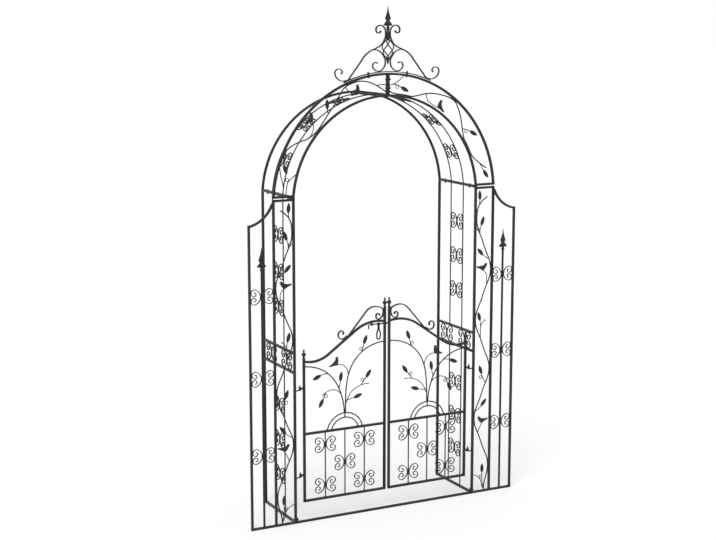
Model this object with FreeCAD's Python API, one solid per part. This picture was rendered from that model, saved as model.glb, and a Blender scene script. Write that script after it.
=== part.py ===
import FreeCAD, Part
import math
import os

# Garden arch with a two-leaf gate, welded from steel bar and wire.
# Millimetres. X runs across the front, Y goes in under the arch, Z is up.
# The origin is the middle of the threshold's underside, in the plane of the gate.

# Bars and wires
bar = 12.0                  # square bar of posts, rails and arcs
rod_dia = 7.0               # thin upright rods and the latch bolt
wing_rod_dia = 12.0         # rod that carries the wing spear
strip_width = 12.0          # flat strip of the long scrolls and the crest, front to back
scroll_deep = 7.0           # flat strip of the C scrolls, across their plane
scroll_thick = 4.0          # the same strip in their plane
hoop_wire = 7.0             # wire of the hoops
vine_wire = 7.0             # stem of the vines
twig_wire = 4.5             # side shoots of the vines
arm_thick = 6.0             # strip of the gate's long scroll and of the crest's arms
curl_thick = 5.0            # strip of the crest's inner and outer curls
flat_width = 20.0           # flats that bolt the arch to the sides
flat_thick = 6.0
touch = 0.1                 # gap left between round pieces that touch

# Frame
depth = 390.0               # front posts to back posts, middle to middle
inner_post_x = 550.0        # middle of the inner posts from the centre
panel_width = 113.0         # inner post to middle post, middle to middle
wing_width = 138.0          # middle post to wing post, middle to middle
springing_z = 1750.0        # where the arch stands on the sides
arc_centre_drop = 42.0      # centre of the arcs below the springing
springing_gap = 6.5         # between the two front bars at the springing
ladder_low_z = 825.0        # middle of the lower ladder bar
ladder_height = 105.0       # lower to upper ladder bar, middle to middle
side_scroll_step = 195.0    # between the heights of neighbouring scroll pairs of the sides
crown_gap = 3.0             # between the two halves at the crown
crown_bar_thick = 8.0
flat_bolt_inset = 65.0      # bolts of the flats from the front and back posts
roof_scroll_angles = (23.5, 46.5, 70.0)

# Wings
wing_post_drop = 126.0      # top of the wing post below the springing
wing_rail_rise = 109.0      # fall of the wing rail from middle post to wing post
wing_rail_sag = 21.0        # how far the wing rail hangs below a straight line
spear_tip_drop = 246.0      # tip of the wing spear below the springing
spear_length = 137.0        # tip to the foot of its collar
wing_scroll_shares = (0.286, 0.593, 0.9135)     # heights on the wing rod

# Gate
gate_gap = 15.0             # between the two meeting stiles
hinge_axis_gap = 30.0       # hinge axis to the middle of the inner post
hinge_post_offset = 24.0    # hinge axis to the middle of the gate's hinge post
gate_bottom_z = 117.0       # middle of the bottom rail
mid_rail_z = 486.0
valley_z = 875.0            # lowest point of the swept top rail
rail_rise = 183.0           # from the valley of the top rail to its crest
rail_slope = 34.9           # degrees, of the straight run between them
valley_part = 0.436         # radius of the valley as a share of both radii together
valley_inset = 41.0         # valley from the face of the hinge post
crest_inset = 44.5          # crest from the face of the meeting stile
stile_rise = 77.0           # top of the meeting stile above the crest of the rail
hinge_post_rise = 20.0      # top of the hinge post above the end of the rail
finial_height = 48.0
hoop_radius = 108.0
inner_hoop_radius = 83.0
hoop_centre_drop = 26.0     # centre of the hoops below the top of the middle rail
gate_scroll_reach = 58.0
gate_scroll_step = 113.0    # between the heights of neighbouring scroll pairs
arm_rest = 0.725            # where the long scroll's arm meets the rail, share of the straight run
tail_straight = 20.0        # length of its tail that lies on the rail
tail_radius = 24.0
head_width = 114.0          # head of the long scroll, from the stile to where its arm runs straight
head_height = 71.0

# Hinges, bolts and latch
pin_dia = 8.0
pin_height = 22.0
hinge_fit = 0.08            # radial clearance between pin and eye
eye_dia = 14.0
eye_height = 14.0
seat_gap = 0.3              # eye above its bracket
bracket_width = 12.0
bracket_thick = 4.0
hinge_low_z = 252.0
hinge_high_z = 728.0
bolt_dia = 6.0
bolt_clear = 0.2            # radial clearance of a bolt in its hole
hex_width = 10.0
head_thick = 4.0
nut_thick = 5.0
tab_thick = 3.0
tab_width = 20.0
tab_height = 32.0
threshold_bolt_z = 22.0
latch_drop = 10.0           # latch bolt below the underside of the rail's end
latch_finger_x = -112.0
latch_finger_length = 24.0
finger_radius = 9.0         # bend of the latch bolt's finger
latch_tip_clear = 1.0       # drawn latch bolt short of the other stile
latch_fit = 0.3
handle_x = -51.0
handle_length = 88.0
handle_width = 30.0
handle_wire = 8.0
neck_length = 20.0          # straight neck of the handle
boss_length = 14.0
boss_dia = 16.0
guide_x = -92.0
guide_length = 8.0
guide_dia = 14.0
ferrule_length = 8.0
ferrule_base = 14.0         # diameter on the stile
ferrule_tip = 10.0

# Ornaments
curl_share = 0.34           # outer radius of a C scroll's curls, share of its width
leaf_length = 54.0
leaf_width = 20.0
leaf_thick = 5.0
leaf_grip = 8.0             # how far a shoot runs into its leaf
bud_dia = 8.0
bird_length = 78.0
bird_thick = 6.0
bird_clear = 3.5            # tail of a front bird from the post
ring_radius = 10.5
ring_hole = 6.5
ring_thick = 3.5
wave_first = 0.083          # first turn of the front vine, share of the panel's height
wave_step = 0.1638          # from turn to turn
valley_share = 0.614        # height of the rail's valley in the gate's vine field

# Crest, from the strip upwards
crest_spacer = 3.5
crest_strip_thick = 5.0
crest_strip_width = 12.0
crest_strip_half = 260.0    # half the width of the crest strip
crest_bolt_x = 113.0
cone_rise = 36.0            # foot of the cone above the strip
cone_length = 29.0
cone_tip = 6.0              # diameter of the cone's foot
basket_height = 102.0
basket_radius = 36.0
basket_wire = 6.5
basket_turn = 150.0         # degrees
shaft_dia = 20.0
shaft_length = 32.0         # from the basket to the spear
arm_contact = 0.93          # where the arms meet the strip, share of its half width
curl_contact = 0.195        # where the inner curls touch it
volute_start = 0.94         # where the outer curls leave it
volute_radius = 48.0

V = FreeCAD.Vector
half = bar / 2
middle_post_x = inner_post_x + panel_width
wing_post_x = middle_post_x + wing_width
arc_z = springing_z - arc_centre_drop
inner_radius = math.hypot(inner_post_x, arc_centre_drop)
outer_radius = math.hypot(middle_post_x, arc_centre_drop)
hinge_x = inner_post_x - hinge_axis_gap
hinge_post_x = hinge_x - hinge_post_offset
stile_x = gate_gap / 2 + half
bolt_hole = bolt_dia + 2 * bolt_clear
nodes = {}


def box(x0, x1, y0, y1, z0, z1):
    return Part.makeBox(x1 - x0, y1 - y0, z1 - z0, V(x0, y0, z0))


def cylinder(start, end, dia):
    return Part.makeCylinder(dia / 2, (end - start).Length, start, end - start)


def turned(x, z, profile):
    """Solid turned about the upright line at x; profile is (radius, height above z) from foot to top."""
    spots = [V(x + r, 0, z + h) for r, h in profile]
    return Part.Face(Part.makePolygon(spots + spots[:1])).revolve(V(x, 0, 0), V(0, 0, 1), 360)


def mirrored(shapes):
    return [s.mirror(V(0, 0, 0), V(1, 0, 0)) for s in shapes]


def both_sides(name, shapes):
    nodes["right_" + name] = shapes
    nodes["left_" + name] = mirrored(shapes)


def joined(shapes):
    result = shapes[0].fuse(shapes[1:]) if len(shapes) > 1 else shapes[0]
    return result.removeSplitter()


# Paths: arcs that run smoothly into each other

def in_front(x, z):
    """A point of the front plane."""
    return V(x, 0, z)


def arc_edge(start, tangent, end):
    """The arc from start to end that leaves start along tangent."""
    chord = end - start
    across = tangent - chord * (tangent.dot(chord) / chord.dot(chord))
    if across.Length < 1e-4:
        return Part.LineSegment(start, end).toShape()
    turn = tangent.getAngle(chord)
    across.normalize()
    middle = (start + end) * 0.5 + across * (chord.Length / 2 * math.tan(turn / 2))
    return Part.Arc(start, middle, end).toShape()


def end_tangent(chord, neighbour):
    """Direction at the free end of a chord, so that the chord's arc meets neighbour at its other end."""
    chord = V(chord).normalize()
    return (chord * (2 * chord.dot(neighbour)) - neighbour).normalize()


def biarc_reach(span, t0, t1):
    """Length of the equal tangents of two arcs that join over a span."""
    along = span.dot(t0 + t1)
    room = 2 * (1 - t0.dot(t1))
    if room < 1e-6:
        return span.dot(span) / (2 * along)
    return (math.sqrt(along * along + room * span.dot(span)) - along) / room


def smooth(points, first=None, last=None, held=None):
    """Edges of a smooth line through points, two arcs a span; held fixes directions by point number."""
    steps = [b - a for a, b in zip(points, points[1:])]
    tangents = [(a / a.dot(a) + b / b.dot(b)).normalize() for a, b in zip(steps, steps[1:])]
    for number, direction in (held or {}).items():
        tangents[number - 1] = V(direction).normalize()
    if tangents:
        first = first or end_tangent(steps[0], tangents[0])
        last = last or end_tangent(steps[-1], tangents[-1])
    else:
        first = first or V(steps[0]).normalize()
        last = last or end_tangent(steps[0], first)
    tangents = [first] + tangents + [last]
    edges = []
    for start, end, t0, t1 in zip(points, points[1:], tangents, tangents[1:]):
        reach = biarc_reach(end - start, t0, t1)
        joint = (start + t0 * reach + end - t1 * reach) * 0.5
        edges.append(arc_edge(start, t0, joint))
        edges.append(arc_edge(joint, V(joint - start - t0 * reach), end))
    return edges


def bends(start, heading, steps):
    """Flat edges of a bent line from start; steps are (radius, degrees), + turns left.
    A radius of None makes a straight run, whose length takes the place of the degrees."""
    x, z = start
    angle = math.radians(heading)
    edges = []
    for radius, turn in steps:
        if radius is None:
            x1 = x + turn * math.cos(angle)
            z1 = z + turn * math.sin(angle)
            edges.append(("line", (x, z), (x1, z1)))
        else:
            side = 1 if turn > 0 else -1
            cx = x - side * radius * math.sin(angle)
            cz = z + side * radius * math.cos(angle)
            spots = []
            for part in (0.5, 1):
                now = angle + math.radians(turn) * part
                spots.append((cx + side * radius * math.sin(now), cz - side * radius * math.cos(now)))
            edges.append(("arc", (x, z), spots[0], spots[1]))
            angle += math.radians(turn)
            x1, z1 = spots[1]
        x, z = x1, z1
    return edges


def laid(flat_edges, place):
    """Flat edges put into space by place(x, z)."""
    edges = []
    for kind, *points in flat_edges:
        spots = [place(*p) for p in points]
        edges.append((Part.Arc(*spots) if kind == "arc" else Part.LineSegment(*spots)).toShape())
    return edges


def pipe(edges, dia):
    start = edges[0].valueAt(edges[0].FirstParameter)
    along = edges[0].tangentAt(edges[0].FirstParameter)
    ring = Part.Wire([Part.Circle(start, along, dia / 2).toShape()])
    return Part.Wire(edges).makePipeShell([ring], True, False)


def flat_pipe(edges, thick, width=strip_width, facing=V(0, 1, 0)):
    """Flat bar bent over its thickness; its width lies along facing."""
    start = edges[0].valueAt(edges[0].FirstParameter)
    along = edges[0].tangentAt(edges[0].FirstParameter)
    side = along.cross(facing) * (thick / 2)
    up = facing * (width / 2)
    corners = [start + side + up, start - side + up, start - side - up, start + side - up]
    ring = Part.makePolygon(corners + corners[:1])
    return Part.Wire(edges).makePipeShell([ring], True, False)


def square_pipe(edges, size):
    """Square bar bent in the front plane."""
    return flat_pipe(edges, size, size)


# C scrolls: a wide back and a hooked curl at each end
# The back bends 75 degrees each way from its middle, then each curl closes over 410 degrees.

back_bend = 75.0
back_cos = math.cos(math.radians(back_bend))
back_sin = math.sin(math.radians(back_bend))
back_share = (1 - curl_share * (1 + back_cos)) / (1 - back_cos)
rise_share = back_share * back_sin + curl_share * (1 - back_sin)


def c_scroll(width, place):
    """One C scroll, its back on x = 0 and its curls towards +x; width is that of its strip's middle."""
    curl = curl_share * width
    upper = bends((0, 0), 90, [
        (back_share * width, -back_bend),
        (curl, -190),
        (curl * 0.6, -130),
        (curl * 0.35, -90),
    ])
    lower = [(kind, *[(x, -z) for x, z in reversed(points)]) for kind, *points in reversed(upper)]
    origin = place(0, 0)
    facing = (place(1, 0) - origin).cross(place(0, 1) - origin).normalize()
    return flat_pipe(laid(lower + upper, place), scroll_thick, scroll_deep, facing)


def scroll_pair(width, back_gap, place):
    """Two C scrolls back to back; back_gap is what stands between their backs."""
    offset = back_gap / 2 + scroll_thick / 2 + touch / 2
    return [
        c_scroll(width, lambda x, z: place(x + offset, z)),
        c_scroll(width, lambda x, z: place(-x - offset, z)),
    ]


# Bolts with a hexagon head at one end and a domed cap nut at the other

def hexagon(at, along, height):
    turn = FreeCAD.Rotation(V(0, 0, 1), along)
    corner_radius = hex_width / math.sqrt(3)
    spots = []
    for k in range(7):
        angle = math.radians(60 * k)
        spots.append(at + turn.multVec(V(math.cos(angle), math.sin(angle), 0)) * corner_radius)
    return Part.Face(Part.makePolygon(spots)).extrude(V(along) * height)


def capped_bolt(head_face, along, grip):
    """Bolt whose head sits on head_face and whose nut sits grip further along."""
    along = V(along).normalize()
    nut_face = head_face + along * grip
    nut_end = nut_face + along * nut_thick
    dome = Part.makeSphere(hex_width * 0.45, nut_end, along, 0, 90)
    return joined([
        hexagon(head_face, along * -1, head_thick),
        cylinder(head_face, nut_face, bolt_dia),
        hexagon(nut_face, along, nut_thick),
        dome,
    ])


def drilled(shape, holes):
    """Shape with through holes, each given by its middle and direction."""
    for at, along in holes:
        reach = V(along).normalize() * (4 * bar)
        shape = shape.cut(cylinder(at - reach, at + reach, bolt_hole))
    return shape


# Side frames: inner post, back post, foot, ladder and the flat under the springing

flat_bolt_ys = (flat_bolt_inset, depth - flat_bolt_inset)
ladder_high_z = ladder_low_z + ladder_height
threshold_hole = (V(inner_post_x, 0, threshold_bolt_z), V(1, 0, 0))


def side_bar(z):
    return box(inner_post_x - half, inner_post_x + half, half, depth - half, z - half, z + half)


def flat(z0, z1):
    plate = box(inner_post_x - flat_width / 2, inner_post_x + flat_width / 2, half, depth - half, z0, z1)
    return drilled(plate, [(V(inner_post_x, y, springing_z), V(0, 0, 1)) for y in flat_bolt_ys])


inner_post = box(inner_post_x - half, inner_post_x + half, -half, half, bar, springing_z)
back_post = box(inner_post_x - half, inner_post_x + half, depth - half, depth + half, 0, springing_z)
both_sides("side_frame", [
    drilled(inner_post, [threshold_hole]),
    back_post,
    side_bar(half),
    side_bar(ladder_low_z),
    side_bar(ladder_high_z),
    flat(springing_z - flat_thick, springing_z),
])

# Side rods and scrolls

rod_ys = (depth / 3, depth * 2 / 3)
lower_field = (bar, ladder_low_z - half)
upper_field = (ladder_high_z + half, springing_z - flat_thick)
both_sides("side_rods", [
    cylinder(V(inner_post_x, y, low), V(inner_post_x, y, high), rod_dia)
    for y in rod_ys for low, high in (lower_field, upper_field)])

rod_room = (rod_ys[1] - rod_ys[0] - rod_dia) / 2
side_scroll_width = rod_room - scroll_thick - 1.5 * touch
side_scrolls = []
for low, high in (lower_field, upper_field):
    for k in (-1, 0, 1):
        z = (low + high) / 2 + k * side_scroll_step
        side_scrolls += scroll_pair(
            side_scroll_width, 0, lambda a, b: V(inner_post_x, depth / 2 + a, z + b))
ladder_room = ladder_height - bar
ladder_scroll_width = ((ladder_room - scroll_thick) / 2 - touch) / rise_share
for y in (depth / 4, depth * 3 / 4):
    z = ladder_low_z + ladder_height / 2
    side_scrolls += scroll_pair(ladder_scroll_width, 0, lambda a, b: V(inner_post_x, y + a, z + b))
both_sides("side_scrolls", side_scrolls)

# Front frames: middle post, the foot that all front posts stand on, the bar under the springing

low_bar_top = springing_z - springing_gap / 2
high_bar_low = springing_z + springing_gap / 2
high_bar_top = high_bar_low + bar
both_sides("front_frame", [
    box(middle_post_x - half, middle_post_x + half, -half, half, bar, low_bar_top),
    box(inner_post_x - half, wing_post_x + half, -half, half, 0, bar),
    box(inner_post_x + half, middle_post_x - half, -half, half, low_bar_top - bar, low_bar_top),
])

# Wings: outer post, hollow-curved rail, rod with a cast spear, scrolls

wing_left = middle_post_x + half
wing_right = wing_post_x - half
wing_post_top = springing_z - wing_post_drop
rail_start = V(wing_left, 0, wing_post_top - half + wing_rail_rise)
rail_end = V(wing_right, 0, wing_post_top - half)
rail_chord = rail_end - rail_start
rail_side = V(rail_chord.z, 0, -rail_chord.x).normalize()
rail_middle = (rail_start + rail_end) * 0.5 + rail_side * wing_rail_sag
wing_rail = square_pipe([Part.Arc(rail_start, rail_middle, rail_end).toShape()], bar)
wing_field = box(wing_left, wing_right, -bar, bar, 0, springing_z)
both_sides("wing_frame", [
    box(wing_post_x - half, wing_post_x + half, -half, half, bar, wing_post_top),
    wing_rail.common(wing_field),
])

spear_sections = (          # below the tip, width, thickness, all as shares of the spear's length
    (0, 0.015, 0.015),
    (0.22, 0.075, 0.06),
    (0.48, 0.226, 0.09),
    (0.555, 0.14, 0.09),
    (0.715, 0.35, 0.095),
    (0.76, 0.10, 0.095),
)
collar_profile = ((0, 0.76), (0.04, 0.76), (0.066, 0.80), (0.066, 0.88))    # radius, below the tip


def diamond(x, z, width, thick):
    spots = [V(x - width / 2, 0, z), V(x, -thick / 2, z), V(x + width / 2, 0, z), V(x, thick / 2, z)]
    return Part.makePolygon(spots + spots[:1])


def spear(x, tip_z, foot_dia):
    """Cast head with two tiers of blades on a round collar."""
    blades = [
        diamond(x, tip_z - spear_length * below, spear_length * width, spear_length * thick)
        for below, width, thick in spear_sections]
    profile = [(spear_length * r, -spear_length * below) for r, below in collar_profile]
    profile += [(foot_dia / 2, -spear_length), (0, -spear_length)]
    return joined([Part.makeLoft(blades, True, True), turned(x, tip_z, profile)])


wing_rod_x = (wing_left + wing_right) / 2
spear_tip_z = springing_z - spear_tip_drop
wing_rod_top = spear_tip_z - spear_length
both_sides("wing_spear", [
    spear(wing_rod_x, spear_tip_z, wing_rod_dia),
    cylinder(V(wing_rod_x, 0, bar), V(wing_rod_x, 0, wing_rod_top), wing_rod_dia),
])
wing_room = (wing_right - wing_left - wing_rod_dia) / 2
wing_scroll_width = wing_room - scroll_thick - 1.5 * touch
wing_scrolls = []
for share in wing_scroll_shares:
    z = bar + (wing_rod_top - bar) * share
    wing_scrolls += scroll_pair(
        wing_scroll_width, wing_rod_dia, lambda a, b: in_front(wing_rod_x + a, z + b))
both_sides("wing_scrolls", wing_scrolls)

# Arch halves: square arcs, end bars at springing and crown

crown_face = crown_gap / 2
crest_angle = math.degrees(math.asin(crest_bolt_x / outer_radius))


def arc_bar(radius, y, low_z):
    """Quarter of a square arc, cut level at low_z and upright at the crown."""
    r0, r1 = radius - half, radius + half
    y0, y1 = y - half, y + half
    corners = [V(r0, y0, arc_z), V(r1, y0, arc_z), V(r1, y1, arc_z), V(r0, y1, arc_z)]
    face = Part.Face(Part.makePolygon(corners + corners[:1]))
    ring = face.revolve(V(0, 0, arc_z), V(0, -1, 0), 90)
    return ring.common(box(crown_face, radius + bar, y - bar, y + bar, low_z, arc_z + radius + bar))


def around(radius, degrees, y=0.0):
    """A point at a radius and an angle above the horizontal, about the centre of the arcs."""
    angle = math.radians(degrees)
    return V(radius * math.cos(angle), y, arc_z + radius * math.sin(angle))


def outward(degrees):
    """Direction away from the centre of the arcs."""
    angle = math.radians(degrees)
    return V(math.cos(angle), 0, math.sin(angle))


def downhill(degrees):
    """Direction along the arcs, away from the crown on the right half."""
    angle = math.radians(degrees)
    return V(math.sin(angle), 0, -math.cos(angle))


crest_hole = (around(outer_radius, 90 - crest_angle), outward(90 - crest_angle))
both_sides("arch_inner_arc", [arc_bar(inner_radius, 0, springing_z)])
both_sides("arch_outer_arc", [drilled(arc_bar(outer_radius, 0, high_bar_top), [crest_hole])])
both_sides("arch_back_arc", [arc_bar(inner_radius, depth, springing_z)])

crown_low = arc_z + inner_radius + half
crown_high = arc_z + outer_radius - half
crown_bolt_zs = [crown_low + (crown_high - crown_low) * share for share in (0.325, 0.78)]
crown_flat_z = arc_z + inner_radius
crown_bar = box(crown_face, crown_face + crown_bar_thick, -half, half, crown_low, crown_high - touch)
crown_flat = box(crown_face, crown_face + flat_thick, half, depth - half,
                 crown_flat_z - flat_width / 2, crown_flat_z + flat_width / 2)
foot_start = math.sqrt((inner_radius + half) ** 2 - (high_bar_low - arc_z) ** 2)
both_sides("arch_end_bars", [
    box(foot_start + touch / 2, middle_post_x + half, -half, half, high_bar_low, high_bar_top),
    flat(springing_z, springing_z + flat_thick),
    drilled(crown_bar, [(V(0, 0, z), V(1, 0, 0)) for z in crown_bolt_zs]),
    drilled(crown_flat, [(V(0, y, crown_flat_z), V(1, 0, 0)) for y in flat_bolt_ys]),
])

# Roof rods and scrolls

roof_box = box(crown_face + flat_thick, inner_radius + bar, 0, depth,
               springing_z + flat_thick, crown_flat_z + bar)
roof_rods = []
for y in rod_ys:
    arc = Part.Arc(around(inner_radius, 0, y), around(inner_radius, 45, y), around(inner_radius, 90, y))
    roof_rods.append(pipe([arc.toShape()], rod_dia).common(roof_box))
both_sides("roof_rods", roof_rods)

roof_scrolls = []
for degrees in roof_scroll_angles:
    middle = around(inner_radius, degrees, depth / 2)
    slope_up = downhill(degrees) * -1
    roof_scrolls += scroll_pair(
        side_scroll_width - 2 * touch, 0, lambda a, b: middle + V(0, 1, 0) * a + slope_up * b)
both_sides("roof_scrolls", roof_scrolls)


# Vines: a stem with side shoots that end in leaves, buds, rings and flat birds, all welded together

def plate(edges, thick):
    """Plate of a closed outline in the front plane, evenly about that plane."""
    face = Part.Face(Part.Wire(edges))
    face.translate(V(0, -thick / 2, 0))
    return face.extrude(V(0, thick, 0))


def frame_at(at, along):
    """Places (x, z) beside a point, x along a direction of the front plane."""
    ahead = V(along.x, 0, along.z).normalize()
    left = V(-ahead.z, 0, ahead.x)
    return lambda x, z: at + ahead * x + left * z


def leaf(tip_of_shoot, along):
    place = frame_at(tip_of_shoot, along)
    start, end = place(-leaf_grip, 0), place(leaf_length - leaf_grip, 0)
    belly = leaf_length / 2 - leaf_grip
    return plate([
        Part.Arc(start, place(belly, leaf_width / 2), end).toShape(),
        Part.Arc(end, place(belly, -leaf_width / 2), start).toShape(),
    ], leaf_thick)


def ring(at):
    start = at - V(0, ring_thick / 2, 0)
    outer = Part.makeCylinder(ring_radius, ring_thick, start, V(0, 1, 0))
    return outer.cut(Part.makeCylinder(ring_hole, ring_thick, start, V(0, 1, 0)))


tail_share = 0.55           # tail behind the feet, share of the bird's length


def bird(feet, facing, side):
    """Flat bird on its feet; facing is its direction, side is -1 when its back is to the right of it."""
    place = frame_at(feet, facing)

    def spot(x, z):
        return place(x * bird_length, z * bird_length * side)

    tail, tail_low, nape = spot(-tail_share, 0.33), spot(-0.49, 0.205), spot(0.18, 0.31)
    beak, breast, rump = spot(0.45, 0.435), spot(0.245, 0.155), spot(-0.18, 0.065)
    return plate([
        Part.Arc(tail, spot(-0.18, 0.22), nape).toShape(),
        Part.Arc(nape, spot(0.31, 0.40), beak).toShape(),
        Part.Arc(beak, spot(0.345, 0.31), breast).toShape(),
        Part.Arc(breast, spot(0.05, -0.025), rump).toShape(),
        Part.Arc(rump, spot(-0.345, 0.14), tail_low).toShape(),
        Part.LineSegment(tail_low, tail).toShape(),
    ], bird_thick)


def on_stem(stem, guess):
    """The point of the stem's middle line that is nearest to a guess."""
    return stem.distToShape(Part.Vertex(guess))[1][0][0]


def shoot(stem, points, last=None):
    """Side shoot whose first point is moved onto the stem."""
    return pipe(smooth([on_stem(stem, points[0])] + points[1:], last=last), twig_wire)


def leafy(stem, points):
    """Shoot with a leaf on its end; the last point is what the leaf aims at."""
    aim = (points[-1] - points[-2]).normalize()
    return [shoot(stem, points[:-1], aim), leaf(points[-2], aim)]


def budded(stem, points):
    """Shoot with a round bud on its end."""
    return [shoot(stem, points), Part.makeSphere(bud_dia / 2, points[-1])]


# Front vines: the stem waves from post to post

panel_middle = (inner_post_x + middle_post_x) / 2
panel_reach = (panel_width - bar - vine_wire) / 2 - touch
panel_low = bar + touch
panel_high = low_bar_top - bar
perch = 1 - (tail_share * bird_length + bird_clear - vine_wire / 2 - touch) / panel_reach
panel_field = box(inner_post_x + half + touch, middle_post_x - half - touch, -bar, bar,
                  panel_low, panel_high)


def in_panel(share_x, share_z):
    """Share_x is -1 at the inner post and 1 at the middle post, share_z runs from foot to springing."""
    return in_front(panel_middle + panel_reach * share_x, panel_low + (panel_high - panel_low) * share_z)


def in_panel_all(spots):
    return [in_panel(*spot) for spot in spots]


stem_points = [in_panel(0.45, 0)]
upright = {}
for k in range(6):
    upright[len(stem_points)] = V(0, 0, 1)
    stem_points.append(in_panel(1 if k % 2 == 0 else -1, wave_first + k * wave_step))
    if k < 5:
        stem_points.append(in_panel(0, wave_first + (k + 0.5) * wave_step))
stem_points += in_panel_all([(-0.68, 0.948), (-0.18, 0.9633), (0.42, 0.9736)])
stem_edges = smooth(stem_points, first=V(0, 0, 1), held=upright)
front_stem = Part.Wire(stem_edges)

front_leaves = [
    [(-0.62, 0.947), (-0.60, 0.9685), (-0.66, 0.996)],
    [(-0.55, 0.853), (-0.53, 0.868), (-0.33, 0.886), (0.02, 0.913)],
    [(0.57, 0.769), (0.33, 0.778), (-0.18, 0.7885), (-0.88, 0.8095)],
    [(-0.33, 0.512), (-0.28, 0.530), (-0.26, 0.5496), (-0.39, 0.5745), (-0.66, 0.6015)],
    [(0.41, 0.3643), (0.12, 0.381), (-0.07, 0.397), (-0.40, 0.4225)],
    [(-0.57, 0.2685), (-0.31, 0.279), (0.03, 0.2887), (0.60, 0.3065)],
    [(0.44, 0.004), (0.31, 0.0193), (0.22, 0.0395), (0.22, 0.0625), (0.19, 0.0905)],
]
front_rings = [(-0.76, 0.870), (-0.17, 0.383), (0.0, 0.046)]
front_birds = [
    ([(0.42, 0.690), (0.48, 0.704), (0.43, 0.722), (-perch, 0.7365)], 1),
    ([(-0.35, 0.199), (-0.22, 0.213), (perch, 0.229)], -1),
]
post_tie = [(0.40, 0.003), (0.2, 0.014), (0.03, 0.033), (-0.36, 0.0466), (-1.15, 0.0555)]
fork = [(-0.26, 0.545), (-0.24, 0.5525), (-0.04, 0.563), (0.33, 0.571)]
front_vine = [pipe(stem_edges, vine_wire), shoot(front_stem, in_panel_all(post_tie)).common(panel_field)]
for spots in front_leaves:
    front_vine += leafy(front_stem, in_panel_all(spots))
front_vine += budded(Part.Wire(smooth(in_panel_all(front_leaves[3][:4]))), in_panel_all(fork))
for spots, facing in front_birds:
    points = in_panel_all(spots)
    front_vine += [shoot(front_stem, points), bird(points[-1], V(facing, 0, 0), facing)]
front_vine += [ring(in_panel(*spot)) for spot in front_rings]
both_sides("front_vine", [joined(front_vine)])

# Arch vines: one wave that runs on over the crown, so the halves differ

vine_low = inner_radius + half + vine_wire / 2 + touch
vine_high = outer_radius - half - vine_wire / 2 - touch
crown_side = crown_face + crown_bar_thick + touch


def disc(radius):
    """Thick disc in the front plane, about the centre of the arcs."""
    return Part.makeCylinder(radius, 2 * bar, V(0, -bar, arc_z), V(0, 1, 0))


arch_field = disc(outer_radius - half - touch).cut(disc(inner_radius + half + touch)).common(
    box(crown_side, outer_radius, -bar, bar, high_bar_top + touch, arc_z + outer_radius))


def in_arch(degrees, share):
    """Angle above the horizontal; share is 0 at the inner arc and 1 at the outer arc."""
    return around(vine_low + (vine_high - vine_low) * share, degrees)


def in_arch_all(spots):
    return [in_arch(*spot) for spot in spots]


def at_crown(share):
    """Where a wire of the vine starts, inside the crown bar."""
    return math.degrees(math.acos(crown_side / (vine_low + (vine_high - vine_low) * share))) + 0.3, share


def arch_wire(spots):
    """Edges of a wire between the arcs; it lies along an arc where its share is 0 or 1."""
    along_arc = {
        number: downhill(degrees)
        for number, (degrees, share) in enumerate(spots) if share in (0, 1)}
    return smooth(in_arch_all(spots), held=along_arc)


def arch_vine(wires, leaves, rings, birds):
    """Wires are (spots, diameter); leaves and birds name the wire that they grow from."""
    stems = []
    solids = []
    for spots, dia in wires:
        edges = arch_wire(spots)
        stems.append(Part.Wire(edges))
        solids.append(pipe(edges, dia).common(arch_field))
    for number, spots in leaves:
        solids += leafy(stems[number], in_arch_all(spots))
    for number, spots, facing, side in birds:
        points = in_arch_all(spots)
        solids += [shoot(stems[number], points), bird(points[-1], V(facing[0], 0, facing[1]), side)]
    solids += [ring(in_arch(*spot)) for spot in rings]
    return joined(solids)


right_wires = [
    ([at_crown(0.14), (84.0, 0), (76.0, 0), (71.0, 0.20), (67.3, 0.44), (63.2, 0.64), (59.2, 0.80),
      (51.8, 1), (46.8, 0.80), (42.0, 0.50), (37.3, 0.20), (31.8, 0), (26.8, 0), (21.2, 0.06),
      (16.7, 0.36), (12.9, 0.75)], vine_wire),
    ([at_crown(0.47), (86.4, 0.56), (83.7, 0.78), (81.8, 1.06)], twig_wire),
]
right_leaves = [
    (1, [(87.3, 0.53), (84.8, 0.51), (81.8, 0.38), (77.4, 0.23)]),
    (0, [(38.1, 0.26), (35.9, 0.45), (33.7, 0.60), (29.2, 0.92)]),
    (0, [(16.6, 0.37), (13.9, 0.47), (11.6, 0.56), (8.4, 0.75)]),
]
right_rings = [(84.6, 0.395), (35.7, 0.36)]
right_birds = [(0, [(67.4, 0.43), (65.2, 0.15), (61.5, 0.05), (57.4, 0.08)], (-0.45, 0.89), -1)]
nodes["right_arch_vine"] = [arch_vine(right_wires, right_leaves, right_rings, right_birds)]

left_wires = [
    ([at_crown(0.10), (85.1, 0.41), (81.0, 0.71), (75.8, 0.95), (71.0, 1), (66.9, 0.94), (63.4, 0.73),
      (59.3, 0.45), (54.0, 0.24), (48.4, 0.08), (42.8, 0), (36.8, 0.16), (31.9, 0.58), (28.4, 0.86),
      (25.2, 1), (22.2, 0.95), (20.3, 0.86)], vine_wire),
    ([at_crown(0.50), (86.5, 0.53), (83.6, 0.50)], twig_wire),
    ([(4.6, 0.52), (7.0, 0.535), (10.4, 0.60), (14.8, 0.86), (18.4, 1.06)], twig_wire),
    ([(4.6, 0.36), (7.2, 0.355), (9.9, 0.36), (12.2, 0.34), (14.6, 0.15), (17.0, -0.06)], twig_wire),
]
left_leaves = [
    (0, [(53.2, 0.21), (54.6, 0.52), (56.8, 0.93)]),
    (0, [(22.2, 0.95), (20.6, 0.87), (19.2, 0.80), (16.8, 0.57)]),
]
left_rings = [(13.2, 0.415)]
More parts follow.
